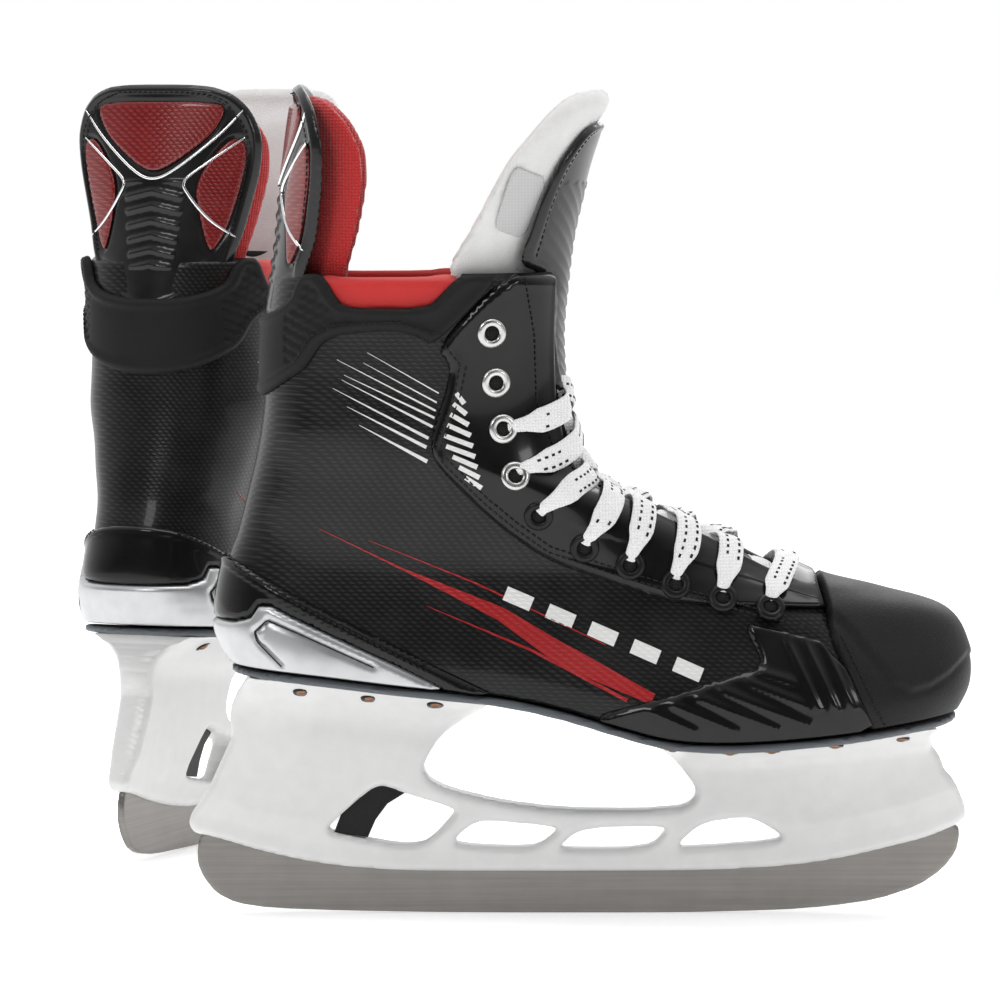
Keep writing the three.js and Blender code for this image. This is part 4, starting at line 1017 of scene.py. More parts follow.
def print_pieces(foot):
    """Printed streaks, the red sweep and plain slanted bars, as thin raised bands, and a thin black strip
    along each heel cup groove as painted shade.
    """
    white, red, bars, groove_shade = [], [], [], []
    for side in (-1, 1):
        for i, (a, b) in enumerate(STREAKS):
            white.append(side_band([a, b], [0.15, 0.5 + 0.14 * i], side, PRINT_LIFT))
        for i in range(9):
            z = 202 - 4.0 * i
            left = np.interp(z, [170, 184, 202], [-43, -51.5, -46.5])
            right = np.interp(z, [168, 202], [-36.5, -43.5])
            white.append(side_band([(left, z + 1.5), (right, z - 2.5)], [1.7, 1.9], side, PRINT_LIFT + 2.75))
        sweep_line = [(-98.6, 151.4), (-68.5, 136.6), (-30, 119.3), (-6.9, 104.5), (27.7, 88.2)]
        red.append(side_band(sweep_line, [0.2, 0.8, 4.6, 8.2, 4.2], side, PRINT_LIFT, samples=40))
        for line, widths in (([(-58, 122), (-18.5, 105.9), (18.1, 87.6)], [0.2, 1.0, 1.4]),
                             ([(-80, 147), (-40, 131), (10, 108)], [0.2, 0.7, 0.3])):
            red.append(side_band(line, widths, side, PRINT_LIFT, samples=30))
        for i in range(5):
            x = -28 + 16 * i
            z = 127 - 6.4 * i
            bars.append(side_band([(x, z), (x + 10, z - 4.2)], [5.5, 5.5], side, PRINT_LIFT))
        # A thin black strip along the cup's groove: painted shade in the groove.
        groove_shade.append(side_band(CUP_GROOVE, [0.45] * 6, side, PRINT_LIFT + 2.55, samples=60))
    for name, parts, look in (("cup_grooves", groove_shade, "thread_black"),
                              ("printed_streaks", white, "stripe_white"),
                              ("printed_sweep", red, "stripe_red"), ("printed_bars", bars, "stripe_white")):
        verts, faces = joined(parts)
        add_mesh(name, foot, verts, faces, LOOKS[look], smooth=False)


def seam_pieces(foot):
    """Stitches and eyelets."""
    lines, fine = [], []
    for side in (-1, 1):
        lines.append(side_line(inset_line(EYESTAY_LOW[1:], -2.4), side, 3.05))
        lines.append(side_line(inset_line(EYESTAY_LOW[2:-1], -4.6), side, 2.95))
        lines.append(side_line(inset_line([(-130, 138.5)] + HEEL_SEAM[2:5], -2.2), side, 2.85))
        lines.append(side_line(inset_line(TOE_SEAM[1:], 2.6), side, 2.45)[:-6])
        fine.append(side_line([(-53, 226), (-60, 227.5), (-68.5, 230.4), (-91.6, 229.4), (-101.5, 225),
                               (-108, 215)], side, 3.2))
        fine.append(side_line([(-20.4, 246.5), (-16.8, 225), (-16, 200), (-9, 181), (1, 171)], side, 2.95))
    stitches("stitches", foot, lines, pitch=bpy.context.scene.skates_sizes.stitch_pitch / MM)
    stitches("fine_stitches", foot, fine, pitch=2.2, length=1.5, radius=0.26)
    ring_profile = [(2.7, -1.2), (2.7, 0.5), (3.3, 1.0), (4.6, 1.0), (5.5, 0.5), (5.7, -0.6), (2.7, -1.2)]
    hole_profile = [(0.1, -0.6), (2.75, -0.6), (2.75, 0.12), (0.1, 0.12)]
    for name, group, look, profile in (("eyelets_black", EYELETS[:6], "eyelet_black", ring_profile),
                                       ("eyelets_silver", EYELETS[6:], "eyelet_silver", ring_profile),
                                       ("eyelet_holes", EYELETS, "fleck_black", hole_profile)):
        points, aims = [], []
        for side in (-1, 1):
            p, level, ring = side_point([g[0] for g in group], [g[1] for g in group], side, EYELET_OFFSET)
            points.append(p)
            aims.append(normals(level, ring, EYELET_OFFSET))
        studs(name, foot, np.concatenate(points), np.concatenate(aims), profile, look, sides=32)


# ---- Shields: tendon guard and tongue top -------------------------------------------------------------
# Each row of a bowed sheet: z, x on its centre line, x at its edge, half its width.
GUARD_ROWS = [(222, -121.6, -106, 24), (236, -119.6, -104, 29), (248.8, -117.6, -105, 32),
              (262, -115.8, -101.5, 35.5), (276, -114.7, -99.3, 39.5), (290, -112.8, -98.4, 42.3),
              (302, -111.3, -99.4, 42), (312, -109.8, -102, 38), (320, -108, -106, 30)]
GUARD_OUTLINE = [(-20, 319.5), (-31, 316), (-38, 309.5), (-42.2, 298), (-41, 284), (-37, 268), (-33.5, 254),
                 (-30, 243), (-16, 232), (0, 225), (16, 232), (30, 243), (33.5, 254), (37, 268), (41, 284),
                 (42.2, 298), (38, 309.5), (31, 316), (20, 319.5)]


def bowed(rows):
    """x of a bowed sheet at (y, z)."""
    mid, edge, half = (smooth_curve([(r[0], r[k]) for r in rows]) for k in (1, 2, 3))
    return lambda y, z: mid(z) + (edge(z) - mid(z)) * np.abs(y / half(z)) ** 2


def bowed_sheet(name, foot, rows, outline, thick, look, body, step, radius=2.0, face=1, relief=None,
                **more):
    """A bowed sheet with a rolled edge; face is the X direction that its back looks along."""
    y, z = np.meshgrid(np.arange(-50, 50.1, step), np.arange(rows[0][0] + 1, 322, step), indexing="ij")
    flat = np.stack([y.ravel(), z.ravel()], -1)
    keep = inside(flat, rounded(outline, 2))
    place = bowed(rows)
    x = place(flat[:, 0], flat[:, 1])
    edge = round_edge(keep, radius)
    middle, half = x + face * thick / 2, thick / 2
    lift = relief(flat, keep) * edge if relief else 0.0
    front = middle - face * (half * edge + lift)
    back = middle + face * half * edge
    shape = y.shape
    verts, faces = skin(np.stack([front.reshape(shape), y, z], -1),
                        np.stack([back.reshape(shape), y, z], -1), keep.reshape(shape))
    return add_mesh(name, foot, verts, faces, LOOKS[look], body=body, **more)


RED_TOP = [(-26, 313), (26, 313), (30, 309), (24, 298), (8, 286), (0, 283), (-8, 286), (-24, 298), (-30, 309)]
RED_SIDE = [(17, 280), (30, 298), (37, 297), (37.5, 288), (34, 273), (29, 257), (24, 249), (20, 262)]
RED_PANELS = (RED_TOP, RED_SIDE, [(-y, z) for y, z in RED_SIDE])
GUARD_WALL = 3.0
PAD_WALL = 6.0
FELT_WALL = 8.0
COVER_WALL = 2.6
# Where each shield would bend: low by the boot at the first (x, z), up on its own body at the second. bend()
# reads them but bends nothing.
BENDS = {"tendon_guard_body": ((-117, 240), (-117, 262)), "tongue_top_body": ((-6, 240), (-6, 262))}


def guard_pieces(foot):
    """The tendon guard with its red panels, bright lines and ribs, and the padding in front of it."""
    reds = [rounded(outline, 2) for outline in RED_PANELS]

    def relief(p, keep):
        rise = 0.9 * np.exp(-((keep - 2.0) / 1.4) ** 2)
        for red in reds:
            rise = rise - 0.7 * np.clip((inside(p, red) + 1.2) / 1.6, 0, 1)
        y, z = p.T
        ribs = (np.abs(y) < 13 - (272 - z) * 0.12) * (z < 280) * (z > 244)
        return rise + 0.8 * ribs * np.clip(np.cos((z + np.abs(y) * 0.22) * 2 * np.pi / 6), 0, 1)

    guard = bowed_sheet("tendon_guard", foot, GUARD_ROWS, GUARD_OUTLINE, GUARD_WALL, "guard_shell",
                        "guard", step=0.8, relief=relief, replaces=["tendon_guard"], slot="gloss_black")
    bend(guard, foot, "tendon_guard_body")
    place = bowed(GUARD_ROWS)
    y, z = np.meshgrid(np.arange(-42, 42.1, 0.8), np.arange(244, 318, 0.8), indexing="ij")
    face = place(y, z)
    for i, outline in enumerate(reds):
        keep = inside(np.stack([y.ravel(), z.ravel()], -1), outline) - 0.6
        x = face - 0.1 - 0.7 * round_edge(keep, 1.2).reshape(y.shape)
        verts, faces = skin(np.stack([x, y, z], -1), np.stack([face + 0.6, y, z], -1), keep.reshape(y.shape))
        red = add_mesh(f"guard_inlay_{i + 1}", foot, verts, faces, LOOKS["guard_red"], body="guard")
        bend(red, foot, "tendon_guard_body")
    lines = [[(-36, 309), (-26, 298), (-10, 285), (0, 281), (10, 285), (26, 298), (36, 309)],
             [(-33, 257), (-24, 264), (-16, 274), (-14, 280), (-22, 287), (-37, 298)],
             [(33, 257), (24, 264), (16, 274), (14, 280), (22, 287), (37, 298)]]
    parts = []
    for line in lines:
        p = np.array(line, float)
        t = np.linspace(0, len(p) - 1, 60)
        y, z = smooth_through(p, t).T
        d = np.gradient(np.stack([y, z], 1), axis=0)
        d /= np.linalg.norm(d, axis=1, keepdims=True)
        w = 0.62 * np.sqrt(np.clip(1 - (2 * t / (len(p) - 1) - 1) ** 6, 0.02, 1))
        ring = []
        for sign, lift in ((1, 0.5), (0.7, -0.75), (-0.7, -0.75), (-1, 0.5)):
            yy, zz = y - d[:, 1] * sign * w, z + d[:, 0] * sign * w
            ring.append(np.stack([place(yy, zz) + lift - 0.35, yy, zz], -1))
        parts.append(sweep(np.stack(ring, 1)))
    bright = add_mesh("guard_lines", foot, *joined(parts), LOOKS["chrome_line"], body="guard")
    bend(bright, foot, "tendon_guard_body")
    rim = [(y * 0.9, z - 3.4 if z > 300 else z) for y, z in GUARD_OUTLINE]
    loop = rounded(rim + rim[:1], 1)
    pts = np.stack([place(loop[:, 0], loop[:, 1]) - 1.2, loop[:, 0], loop[:, 1]], -1)
    pts = pts[loop[:, 1] > 250]
    stitches("guard_stitches", foot, [pts], body="guard", pitch=2.4, length=1.7, radius=0.3)

    pad_rows = [(216, -112, -95, 25), (248.8, -113, -93, 30), (262, -112, -89, 33.5), (276, -111, -86, 37),
                (290, -109, -84.5, 39.5), (302, -107.6, -88, 38), (311, -106, -95, 32), (318, -105, -100, 25)]
    pad_outline = [(-22, 315), (-33, 308), (-38.5, 296), (-38, 282), (-34, 264), (-30, 248), (-25, 222),
                   (25, 222), (30, 248), (34, 264), (38, 282), (38.5, 296), (33, 308), (22, 315)]

    pad = bowed_sheet("tendon_pad", foot, pad_rows, pad_outline, PAD_WALL, "knit_red", "guard",
                      radius=4.0, step=1.3, replaces=["tendon_pad"], slot="red_knit")
    bend(pad, foot, "tendon_guard_body")


def smooth_through(points, t):
    """Catmull-Rom points at parameters t."""
    i = np.clip(np.floor(t).astype(int), 0, len(points) - 2)
    f = (t - i)[:, None]
    g = lambda k: points[np.clip(i + k, 0, len(points) - 1)]
    a, b, c, d = g(-1), g(0), g(1), g(2)
    return 0.5 * (2 * b + (c - a) * f + (2 * a - 5 * b + 4 * c - d) * f**2 + (3 * b - a - 3 * c + d) * f**3)


def bend(piece, foot, body):
    """Takes the piece off its body and bakes its place into its mesh; the bend points are read, but nothing
    bends it.
    """
    low, high = BENDS[body]
    piece.parent = None
    start, end = to_foot([(low[0], 0, low[1]), (high[0], 0, high[1])], foot)
    end[0:2] = start[0:2]
    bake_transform(piece)


def tongue_pieces(foot):
    """The padded lower tongue, the white felt top and its black cover with a plain label."""
    below = [(80, 130), (60, 108), (20, 114), (-16, 134), (-36, 175), (-43, 205), (-48, 254), (200, 254),
             (200, 130)]

    def swell(p, keep):
        middle = np.clip((17 - np.abs(p[:, 1])) / 7, 0, 1)
        return 4.6 * middle * middle * (3 - 2 * middle) * np.clip((p[:, 2] - 128) / 12, 0, 1)

    base = panel("tongue_base", foot, least(side_keep(below, 1), top_keep), *TONGUE_WALL,
                 LOOKS["matte_black"], step=1.6, levels=(2.5, TOP_LEVEL), rings=(0.4, 1.6), radius=3,
                 relief=swell, replaces=["tongue_base"], slot="soft_black")
    felt_rows = [(216, -17, -46, 34), (248.7, -9.5, -44, 37), (262, -5.6, -37.5, 40),
                 (275, -2.5, -30.5, 42.5), (289, 1.2, -22.5, 43.5), (302, 5.5, -12.5, 42),
                 (311, 11, -5, 37), (318, 12.5, 2, 29)]
    felt_outline = [(-20, 317.5), (-32, 314), (-39, 306), (-43, 293), (-42.5, 278), (-39, 258), (-35, 240),
                    (-32, 224), (32, 224), (35, 240), (39, 258), (42.5, 278), (43, 293), (39, 306),
                    (32, 314), (20, 317.5)]
    felt = bowed_sheet("tongue_felt", foot, felt_rows, felt_outline, FELT_WALL, "felt_white", "tongue",
                       radius=4.0, face=-1, step=1.3, replaces=["tongue_felt"], slot="white_felt")
    cover_rows = [(190, -2.6, -9, 20), (205, -4.4, -11.5, 20), (215, -5.2, -12.5, 20), (226, -5.4, -13, 20),
                  (240, -4.2, -12.5, 21), (249.5, -3.2, -22, 30), (262, -1.5, -17.8, 32),
                  (275, 1.4, -13.3, 32.5),
                  (289, 4.9, -7.8, 32.5), (300, 8.4, -1.3, 29), (306, 10.2, 2.7, 24)]
    cover_outline = [(-16, 305), (-25, 300), (-31, 288), (-32, 272), (-31, 252), (-21, 248), (-18, 240),
                     (-16, 215), (-12, 200), (12, 200), (16, 215), (18, 240), (21, 248), (31, 252), (32, 272),
                     (31, 288), (25, 300), (16, 305)]

    def ribbed(p, keep):
        y, z = p.T
        ribs = np.clip(np.cos((z - 0.7 * np.abs(y)) * 2 * np.pi / 5), 0, 1)
        middle = np.clip((keep - 3) / 1.5, 0, 1) * (z < 282)
        return 0.5 * ribs * middle + 0.6 * np.exp(-((keep - 1.8) / 1.0) ** 2)

    cover = bowed_sheet("tongue_cover", foot, cover_rows, cover_outline, COVER_WALL, "guard_shell",
                        "tongue", radius=1.5, face=-1, step=0.9, relief=ribbed, replaces=["tongue_cover"],
                        slot="gloss_black")
    place = bowed(cover_rows)
    edge_line = np.array([(12, 302.5), (21, 298.5), (27.5, 287), (28.8, 272), (28, 262), (27, 255)], float)
    runs = []
    for side in (-1, 1):
        y, z = smooth_through(edge_line, np.linspace(0, len(edge_line) - 1, 60)).T
        runs.append(np.stack([place(side * y, z) + 0.15, side * y, z], -1))
    stitches("tongue_stitches", foot, runs, body="tongue", pitch=2.4, length=1.7, radius=0.3)
    felt_face = [smooth_curve([(r[0], r[k]) for r in felt_rows]) for k in (1, 2, 3)]
    x, z = np.meshgrid(np.arange(-38, -4, 1.0), np.arange(258, 294, 1.0), indexing="ij")
    mid, edge, half = (curve(z) for curve in felt_face)
    y = -half * np.sqrt(np.clip((mid - x) / (mid - edge), 0, 1))
    label_outline = rounded([(-25, 289.1), (-12.3, 284.1), (-21.2, 261), (-32.7, 265.3)], 2, 0.12)
    keep = inside(np.stack([x.ravel(), z.ravel()], -1), label_outline).reshape(x.shape)
    verts, faces = skin(np.stack([x + 0.3, y - 0.5, z], -1), np.stack([x, y + 0.6, z], -1), keep)
    label = add_mesh("tongue_label", foot, verts, faces, LOOKS["label_grey"], body="tongue")
    for piece in (label, felt, cover):
        bend(piece, foot, "tongue_top_body")


# ---- Lace ---------------------------------------------------------------------------------------------
# Offsets of the lace from the last, over and under the facing and in turn through an eyelet.
OVER_FACING = 4.6
UNDER_FACING = -4.1
THROUGH_EYELET = (-3.4, -1.2, 1.2, 3.6)
ARCH = 0.87
FLECK_PITCH = 3.4
FLECK_LENGTH = 1.5
FLECK_LANES = (-0.62, 0.3)  # shares of the lace's half width
FLECK_SECTION = ((-1, -0.3), (1, -0.3), (1, 0.16), (-1, 0.16))


@functools.cache
def front_table():
    """Places over the whole instep: level, ring, points and normals."""
    level, ring = np.meshgrid(np.linspace(1, TOP_LEVEL, 180), np.linspace(0.2, 1.8, 260), indexing="ij")
    places, aims = on_last(level, ring), normals(level, ring)
    return level.ravel(), ring.ravel(), places.reshape(-1, 3), aims.reshape(-1, 3)


def settle(points):
    """Level, ring and small sideways shift of the places of the last that are nearest to the points."""
    level, ring, table, aims = front_table()
    best = np.array([((table - p) ** 2).sum(1).argmin() for p in points])
    slide = points - table[best]
    slide -= aims[best] * (slide * aims[best]).sum(1, keepdims=True)
    return level[best], ring[best], slide


def ease(t):
    t = np.clip(t, 0, 1)
    return t * t * (3 - 2 * t)


class LaceRun:
    """Collects the points, offsets, widths and cross directions of one lace as it is threaded."""

    def __init__(self):
        sizes = bpy.context.scene.skates_sizes
        self.width, self.gathered = sizes.lace_width / MM, sizes.lace_in_eyelet / MM
        xs, zs = [e[0] for e in EYELETS], [e[1] for e in EYELETS]
        self.eyes = {hand: side_point(xs, zs, hand, 0)[0] for hand in (-1, 1)}
        self.crest = on_last(np.linspace(1, TOP_LEVEL, 300), 1.0)
        self.along = {}
        for hand, eyes in self.eyes.items():
            step = np.gradient(eyes, axis=0)
            self.along[hand] = step / np.linalg.norm(step, axis=1, keepdims=True)
        self.points, self.widths, self.across = [], [], []

    def add(self, points, offsets, widths, across):
        level, ring, slide = settle(points)
        self.points += list(on_last(level, ring, offsets) + slide)
        self.widths += list(widths)
        self.across += list(across)

    def through(self, row, hand, offsets):
        """Through an eyelet, at the given offsets in turn."""
        n = len(offsets)
        places = np.array([self.eyes[hand][row]] * n)
        self.add(places, offsets, [self.gathered] * n, [self.along[hand][row]] * n)

    def cross(self, row, hand, to_row, middle, start, end, reach=(0.07, 0.93), count=25):
        """From an eyelet to one on the other side, with its offset at each end and on the centre line."""
        f = np.linspace(*reach, count)
        a, b = self.eyes[hand][row], self.eyes[-hand][to_row]
        middle_point = (a + b) / 2
        crest = self.crest[np.hypot(*(self.crest - middle_point)[:, [0, 2]].T).argmin()]
        along, up = np.cos(np.pi * f), np.sin(np.pi * f)
        points = (middle_point + np.outer(np.sign(along) * np.abs(along) ** ARCH, (a - b) / 2)
                  + np.outer(up**ARCH, crest - middle_point))
        across = np.outer(1 - f, self.along[hand][row]) + np.outer(f, self.along[-hand][to_row])
        level, ring, slide = settle(points)
        far = np.abs((on_last(level, ring) + slide)[:, 1])
        begins = f < 0.5
        share = np.where(begins, ease((far - 8) / 11), ease((far - 5) / 11))
        offsets = middle + (np.where(begins, start, end) - middle) * share
        spread = ease((np.minimum(f, 1 - f) - 0.03) / 0.12)
        widths = self.gathered + (self.width - self.gathered) * spread
        self.add(points, offsets, widths, across)


def lace_piece(foot):
    """The whole lace on its real route: a bar by the toe, then both ends crossing up to the eighth row."""
    thick_half = bpy.context.scene.skates_sizes.lace_thickness / MM / 2
    bar, halves = LaceRun(), {}
    bar.cross(0, -1, 0, 4.0, OVER_FACING, OVER_FACING)
    for start in (-1, 1):
        run = halves[start] = LaceRun()
        run.through(0, start, THROUGH_EYELET[::-1])
        run.cross(0, start, 1, -3.2 if start < 0 else -5.0, UNDER_FACING, UNDER_FACING)
        hand = -start
        for row in range(1, LACED):
            run.through(row, hand, THROUGH_EYELET)
            over = (hand < 0) == (row % 2 == 0)
            reach = (0.07, 0.93) if row + 1 < LACED else (0.07, 0.84)
            run.cross(row, hand, row + 1, 2.2 if over else 0.4, OVER_FACING, UNDER_FACING, reach)
            hand = -hand
    parts = [getattr(halves[-1], k)[::-1] + getattr(bar, k) + getattr(halves[1], k)
             for k in ("points", "widths", "across")]
    points, widths, across = (np.array(part, float) for part in parts)
    t = np.linspace(0, len(points) - 1, len(points) * 2)
    line, wide = smooth_through(points, t), smooth_through(across, t)
    for _ in range(3):
        line[1:-1] = (line[:-2] + 2 * line[1:-1] + line[2:]) / 4
    half = np.interp(t, np.arange(len(widths)), widths) / 2
    forward = np.gradient(line, axis=0)
    forward /= np.maximum(np.linalg.norm(forward, axis=1, keepdims=True), 1e-9)
    wide -= forward * (wide * forward).sum(1, keepdims=True)
    wide /= np.maximum(np.linalg.norm(wide, axis=1, keepdims=True), 1e-9)
    thick = np.cross(forward, wide)
    angles = np.arange(14) * 2 * np.pi / 14
    u = np.sign(np.cos(angles)) * np.abs(np.cos(angles)) ** 0.7
    v = np.sign(np.sin(angles)) * np.abs(np.sin(angles)) ** 0.9
    rings = (line[:, None] + wide[:, None] * (half[:, None] * u)[..., None]
             + thick[:, None] * (thick_half * v)[None, :, None])
    verts, faces = sweep(rings)
    add_mesh("lace", foot, verts, faces, LOOKS["lace_white"], replaces=["lace"], slot="white_lace")
    run = np.concatenate([[0], np.cumsum(np.linalg.norm(np.diff(line, axis=0), axis=1))])
    dashes = []
    for i, at in enumerate(np.arange(20, run[-1] - 20, FLECK_PITCH)):
        for lane in FLECK_LANES:
            begin = at + FLECK_PITCH / 2 * (lane > 0)
            ends = [begin, begin + FLECK_LENGTH]
            pick = lambda values: np.stack([np.interp(ends, run, values[:, k]) for k in range(3)], -1)
            middle, cross, lift = pick(line), pick(wide), pick(thick)
            h = np.interp(at, run, half)
            if h < 4.2 or i % 11 > 6:
                continue
            for face in (-1, 1):
                base = middle + cross * h * lane + lift * face * thick_half * 0.88
                dashes.append(sweep([[m + c * w * 0.45 + n * face * d for w, d in FLECK_SECTION]
                                     for m, c, n in zip(base, cross, lift)]))
    verts, faces = joined(dashes)
    add_mesh("lace_flecks", foot, verts, faces, LOOKS["fleck_black"], smooth=False)


# ---- Properties, operators and the panel ---------------------------------------------------------------
def shade(name, description, value):
    """A colour property."""
    return bpy.props.FloatVectorProperty(name=name, description=description, default=value, size=3, min=0.0,
                                         max=1.0, subtype="COLOR")


class SizeProperties(bpy.types.PropertyGroup):
    """Sizes of the lace and the stitches."""

    lace_width: bpy.props.FloatProperty(name="Lace width", description="Width of the flat lace",
                                        default=9.6 * MM, unit="LENGTH")
    lace_thickness: bpy.props.FloatProperty(name="Lace thickness", description="Thickness of the flat lace",
                                            default=1.6 * MM, unit="LENGTH")
    lace_in_eyelet: bpy.props.FloatProperty(name="Lace in an eyelet", default=4.4 * MM, unit="LENGTH",
                                            description="Width of the lace where an eyelet gathers it")
    stitch_pitch: bpy.props.FloatProperty(name="Stitch pitch", description="From one seam stitch to the next",
                                          default=2.6 * MM, unit="LENGTH")


class ColorProperties(bpy.types.PropertyGroup):
    """The two shades that each main finish is mixed from."""

    shell: shade("Shell", "Main shade of the woven shell", (0.006, 0.006, 0.0062))
    shell_light: shade("Shell, light", "Second shade of the woven shell", (0.024, 0.024, 0.0245))
    facing: shade("Facing", "Main shade of the gloss facings", (0.004, 0.004, 0.004))
    facing_light: shade("Facing, light", "Second shade of the gloss facings", (0.009, 0.009, 0.009))
    sweep: shade("Sweep", "Main shade of the printed sweep", (0.3, 0.006, 0.008))
    sweep_light: shade("Sweep, light", "Second shade of the printed sweep", (0.4, 0.01, 0.012))
    lining: shade("Lining", "Main shade of the knit lining", (0.42, 0.008, 0.008))
    lining_light: shade("Lining, light", "Second shade of the knit lining", (0.62, 0.018, 0.018))
    holder: shade("Holder", "Main shade of the holder", (0.7, 0.7, 0.695))
    holder_light: shade("Holder, light", "Second shade of the holder", (0.78, 0.78, 0.775))
    lace: shade("Lace", "Main shade of the lace", (0.86, 0.86, 0.86))
    lace_light: shade("Lace, light", "Second shade of the lace", (0.94, 0.94, 0.94))


class StageProperties(bpy.types.PropertyGroup):
    """Camera and light."""

    distance: bpy.props.FloatProperty(name="Distance", description="Camera to the right skate", default=2.1,
                                      unit="LENGTH")
    height: bpy.props.FloatProperty(name="Height", description="Camera height over the floor", default=0.32,
                                    unit="LENGTH")
    aim: bpy.props.FloatVectorProperty(name="Aim", description="Point that the camera looks at",
                                       default=(-0.030, 0.0, 0.160), subtype="TRANSLATION")
    frame_width: bpy.props.FloatProperty(name="Frame width", description="Width seen at the right skate",
                                         default=0.385, unit="LENGTH")
    floor_color: bpy.props.FloatVectorProperty(name="Floor", description="Colour of the floor", size=3,
                                               default=(0.92, 0.92, 0.92), subtype="COLOR")
    light_power: bpy.props.FloatProperty(name="Light", description="Power of the key light", default=6.0,
                                         unit="POWER")


GROUPS = {"skates_sizes": SizeProperties, "skates_colors": ColorProperties, "skates_stage": StageProperties}
KEPT_PARTS = {"trigger": "trigger_black", "trigger_pin": "pin_steel", "insole_board": "matte_black"}


class SKATES_OT_finishes(bpy.types.Operator):
    """Makes every finish"""

    bl_idname = "skates.finishes"
    bl_label = "Finishes"

    def execute(self, context):
        make_looks()
        for look in KEPT_PARTS.values():
            object_look(look)
        return {"FINISHED"}


def each_foot(*makers):
    """Runs the makers for both skates."""
    for foot in FEET:
        for maker in makers:
            maker(foot)
    return {"FINISHED"}


class SKATES_OT_lace(bpy.types.Operator):
    """Makes the laces and their flecks"""

    bl_idname = "skates.lace"
    bl_label = "Laces"

    def execute(self, context):
        return each_foot(lace_piece)


class SKATES_OT_chassis(bpy.types.Operator):
    """Makes the holders, their rivets and the runners, and paints the small working parts"""

    bl_idname = "skates.chassis"
    bl_label = "Holders and runners"

    def execute(self, context):
        for foot in FEET:
            for node, look in KEPT_PARTS.items():
                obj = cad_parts[f"{foot}_{node}"]
                obj.data.materials.clear()
                obj.data.materials.append(LOOKS[look + "_object"])
        return each_foot(holder_piece, runner_piece, spring_piece)


class SKATES_OT_soles(bpy.types.Operator):
    """Makes the outsoles and footbeds"""

    bl_idname = "skates.soles"
    bl_label = "Soles"

    def execute(self, context):
        for foot in FEET:
            sole_layer("outsole", foot, 2.4, -3.3, -0.3, "sole_grey", ["outsole"], "grey_sole")
            bed = sole_layer("footbed", foot, -7.6, 3.0, 6.8, "foam_red", ["footbed"], "red_foam", crown=3.0)
        return {"FINISHED"}


class SKATES_OT_shells(bpy.types.Operator):
    """Makes the quarters, toe caps, linings and top rolls"""

    bl_idname = "skates.shells"
    bl_label = "Boot shells"

    def execute(self, context):
        return each_foot(shell_pieces)


class SKATES_OT_overlays(bpy.types.Operator):
    """Makes the heel cups, bands, collars, eyestays and forefoot panels"""

    bl_idname = "skates.overlays"
    bl_label = "Overlays"

    def execute(self, context):
        return each_foot(heel_pieces, facing_pieces)


class SKATES_OT_trim(bpy.types.Operator):
    """Makes the printed bands, stitches and eyelets"""

    bl_idname = "skates.trim"
    bl_label = "Prints, stitches and eyelets"

    def execute(self, context):
        return each_foot(print_pieces, seam_pieces)


class SKATES_OT_guards(bpy.types.Operator):
    """Makes the tendon guards and their padding"""

    bl_idname = "skates.guards"
    bl_label = "Tendon guards"

    def execute(self, context):
        return each_foot(guard_pieces)


class SKATES_OT_tongues(bpy.types.Operator):
    """Makes the tongues"""

    bl_idname = "skates.tongues"
    bl_label = "Tongues"

    def execute(self, context):
        return each_foot(tongue_pieces)


def aimed(obj, target):
    """Turns a camera or a lamp towards a point."""
    obj.rotation_euler = (Vector(target) - obj.location).to_track_quat("-Z", "Y").to_euler()


FLOOR_REACH = 6
FLOOR_GLOW = 0.45
# The world gets brighter behind and above: from and to in y + z, and its strength at each.
WORLD_RISE = (-0.3, 0.9, 0.05, 1.0)
# Each lamp: name, place, size and share of the key light's power.
LAMPS = (("key", (-0.9, -1.3, 1.2), 0.5, 1.0), ("fill", (1.2, -1.1, 0.7), 0.35, 0.45),
         ("top", (0.0, 0.1, 1.5), 1.0, 1.3), ("back", (0.5, 1.4, 0.9), 0.8, 0.6))
LIT_POINT = (-0.05, 0.05, 0.15)


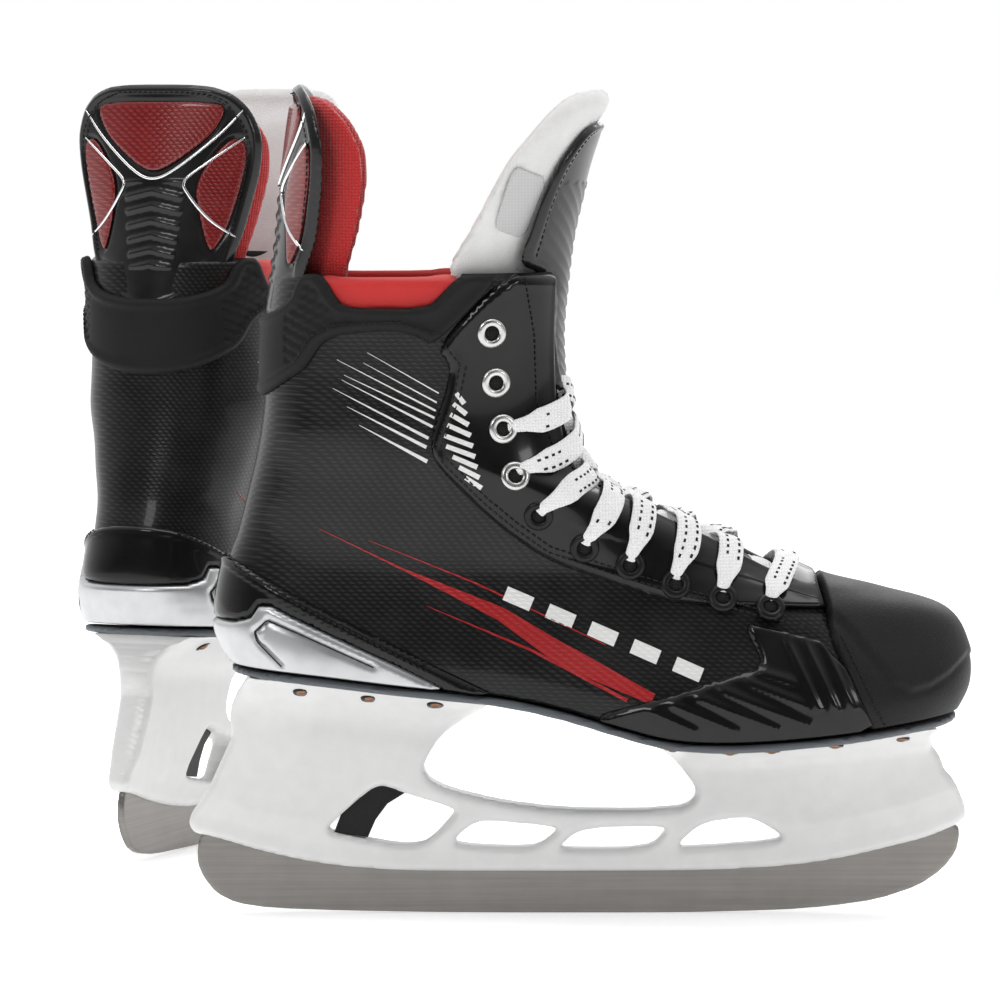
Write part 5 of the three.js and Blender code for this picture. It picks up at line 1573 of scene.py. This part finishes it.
class SKATES_OT_stage(bpy.types.Operator):
    """Makes the camera, the floor and the lights"""

    bl_idname = "skates.stage"
    bl_label = "Stage"

    def execute(self, context):
        scene = context.scene
        stage = scene.skates_stage
        camera = bpy.data.objects.new("camera", bpy.data.cameras.new("camera"))
        camera.location = (stage.aim[0], -stage.distance, stage.height)
        aimed(camera, stage.aim)
        away = math.hypot(stage.distance, stage.height - stage.aim[2])
        camera.data.lens = camera.data.sensor_width * away / stage.frame_width
        camera.data.clip_start = 0.01
        scene.collection.objects.link(camera)
        scene.camera = camera
        floor = bpy.data.meshes.new("floor")
        corners = [(x * FLOOR_REACH, y * FLOOR_REACH, 0) for x, y in ((-1, -1), (1, -1), (1, 1), (-1, 1))]
        floor.from_pydata(corners, [], [(0, 1, 2, 3)])
        floor_piece = bpy.data.objects.new("floor", floor)
        paper = bpy.data.materials.new("floor_paper")
        paper.use_nodes = True
        shader = paper.node_tree.nodes["Principled BSDF"]
        shader.inputs["Base Color"].default_value = (*stage.floor_color, 1)
        shader.inputs["Roughness"].default_value = 0.9
        shader.inputs["Emission Color"].default_value = (1, 1, 1, 1)
        shader.inputs["Emission Strength"].default_value = FLOOR_GLOW
        floor.materials.append(paper)
        scene.collection.objects.link(floor_piece)
        world = bpy.data.worlds.new("studio")
        world.use_nodes = True
        tree = world.node_tree
        tree.nodes["Background"].inputs["Color"].default_value = (1, 1, 1, 1)
        direction = tree.nodes.new("ShaderNodeTexCoord").outputs["Generated"]
        parts = tree.nodes.new("ShaderNodeSeparateXYZ")
        tree.links.new(direction, parts.inputs[0])
        bright = tree.nodes.new("ShaderNodeMapRange")
        for socket, value in zip(("From Min", "From Max", "To Min", "To Max"), WORLD_RISE):
            bright.inputs[socket].default_value = value
        tree.links.new(maths(tree, "ADD", parts.outputs["Y"], parts.outputs["Z"]), bright.inputs["Value"])
        tree.links.new(bright.outputs["Result"], tree.nodes["Background"].inputs["Strength"])
        scene.world = world
        scene.view_settings.view_transform = "Standard"
        for name, place, size, share in LAMPS:
            lamp = bpy.data.lights.new(name, "AREA")
            lamp.energy = stage.light_power * share
            lamp.size = size
            light = bpy.data.objects.new(name, lamp)
            light.location = place
            aimed(light, LIT_POINT)
            scene.collection.objects.link(light)
        return {"FINISHED"}


STEPS = (SKATES_OT_finishes, SKATES_OT_stage, SKATES_OT_lace, SKATES_OT_chassis, SKATES_OT_soles,
         SKATES_OT_shells, SKATES_OT_overlays, SKATES_OT_trim, SKATES_OT_guards, SKATES_OT_tongues)


class SKATES_PT_panel(bpy.types.Panel):
    """Lists the steps that build the skates"""

    bl_label = "Hockey skates"
    bl_idname = "SKATES_PT_panel"
    bl_space_type = "VIEW_3D"
    bl_region_type = "UI"
    bl_category = "Skates"

    def draw(self, context):
        for step in STEPS:
            self.layout.operator(step.bl_idname)
        for group, properties in GROUPS.items():
            for name in properties.__annotations__:
                self.layout.prop(getattr(context.scene, group), name)


CLASSES = (*GROUPS.values(), *STEPS, SKATES_PT_panel)


def register():
    for cls in CLASSES:
        bpy.utils.register_class(cls)
    for group, properties in GROUPS.items():
        setattr(bpy.types.Scene, group, bpy.props.PointerProperty(type=properties))


def unregister():
    for group in GROUPS:
        delattr(bpy.types.Scene, group)
    for cls in reversed(CLASSES):
        bpy.utils.unregister_class(cls)


def main():
    register()
    for step in STEPS:
        group, call = step.bl_idname.split(".")
        getattr(getattr(bpy.ops, group), call)()


if __name__ == "__main__":
    main()
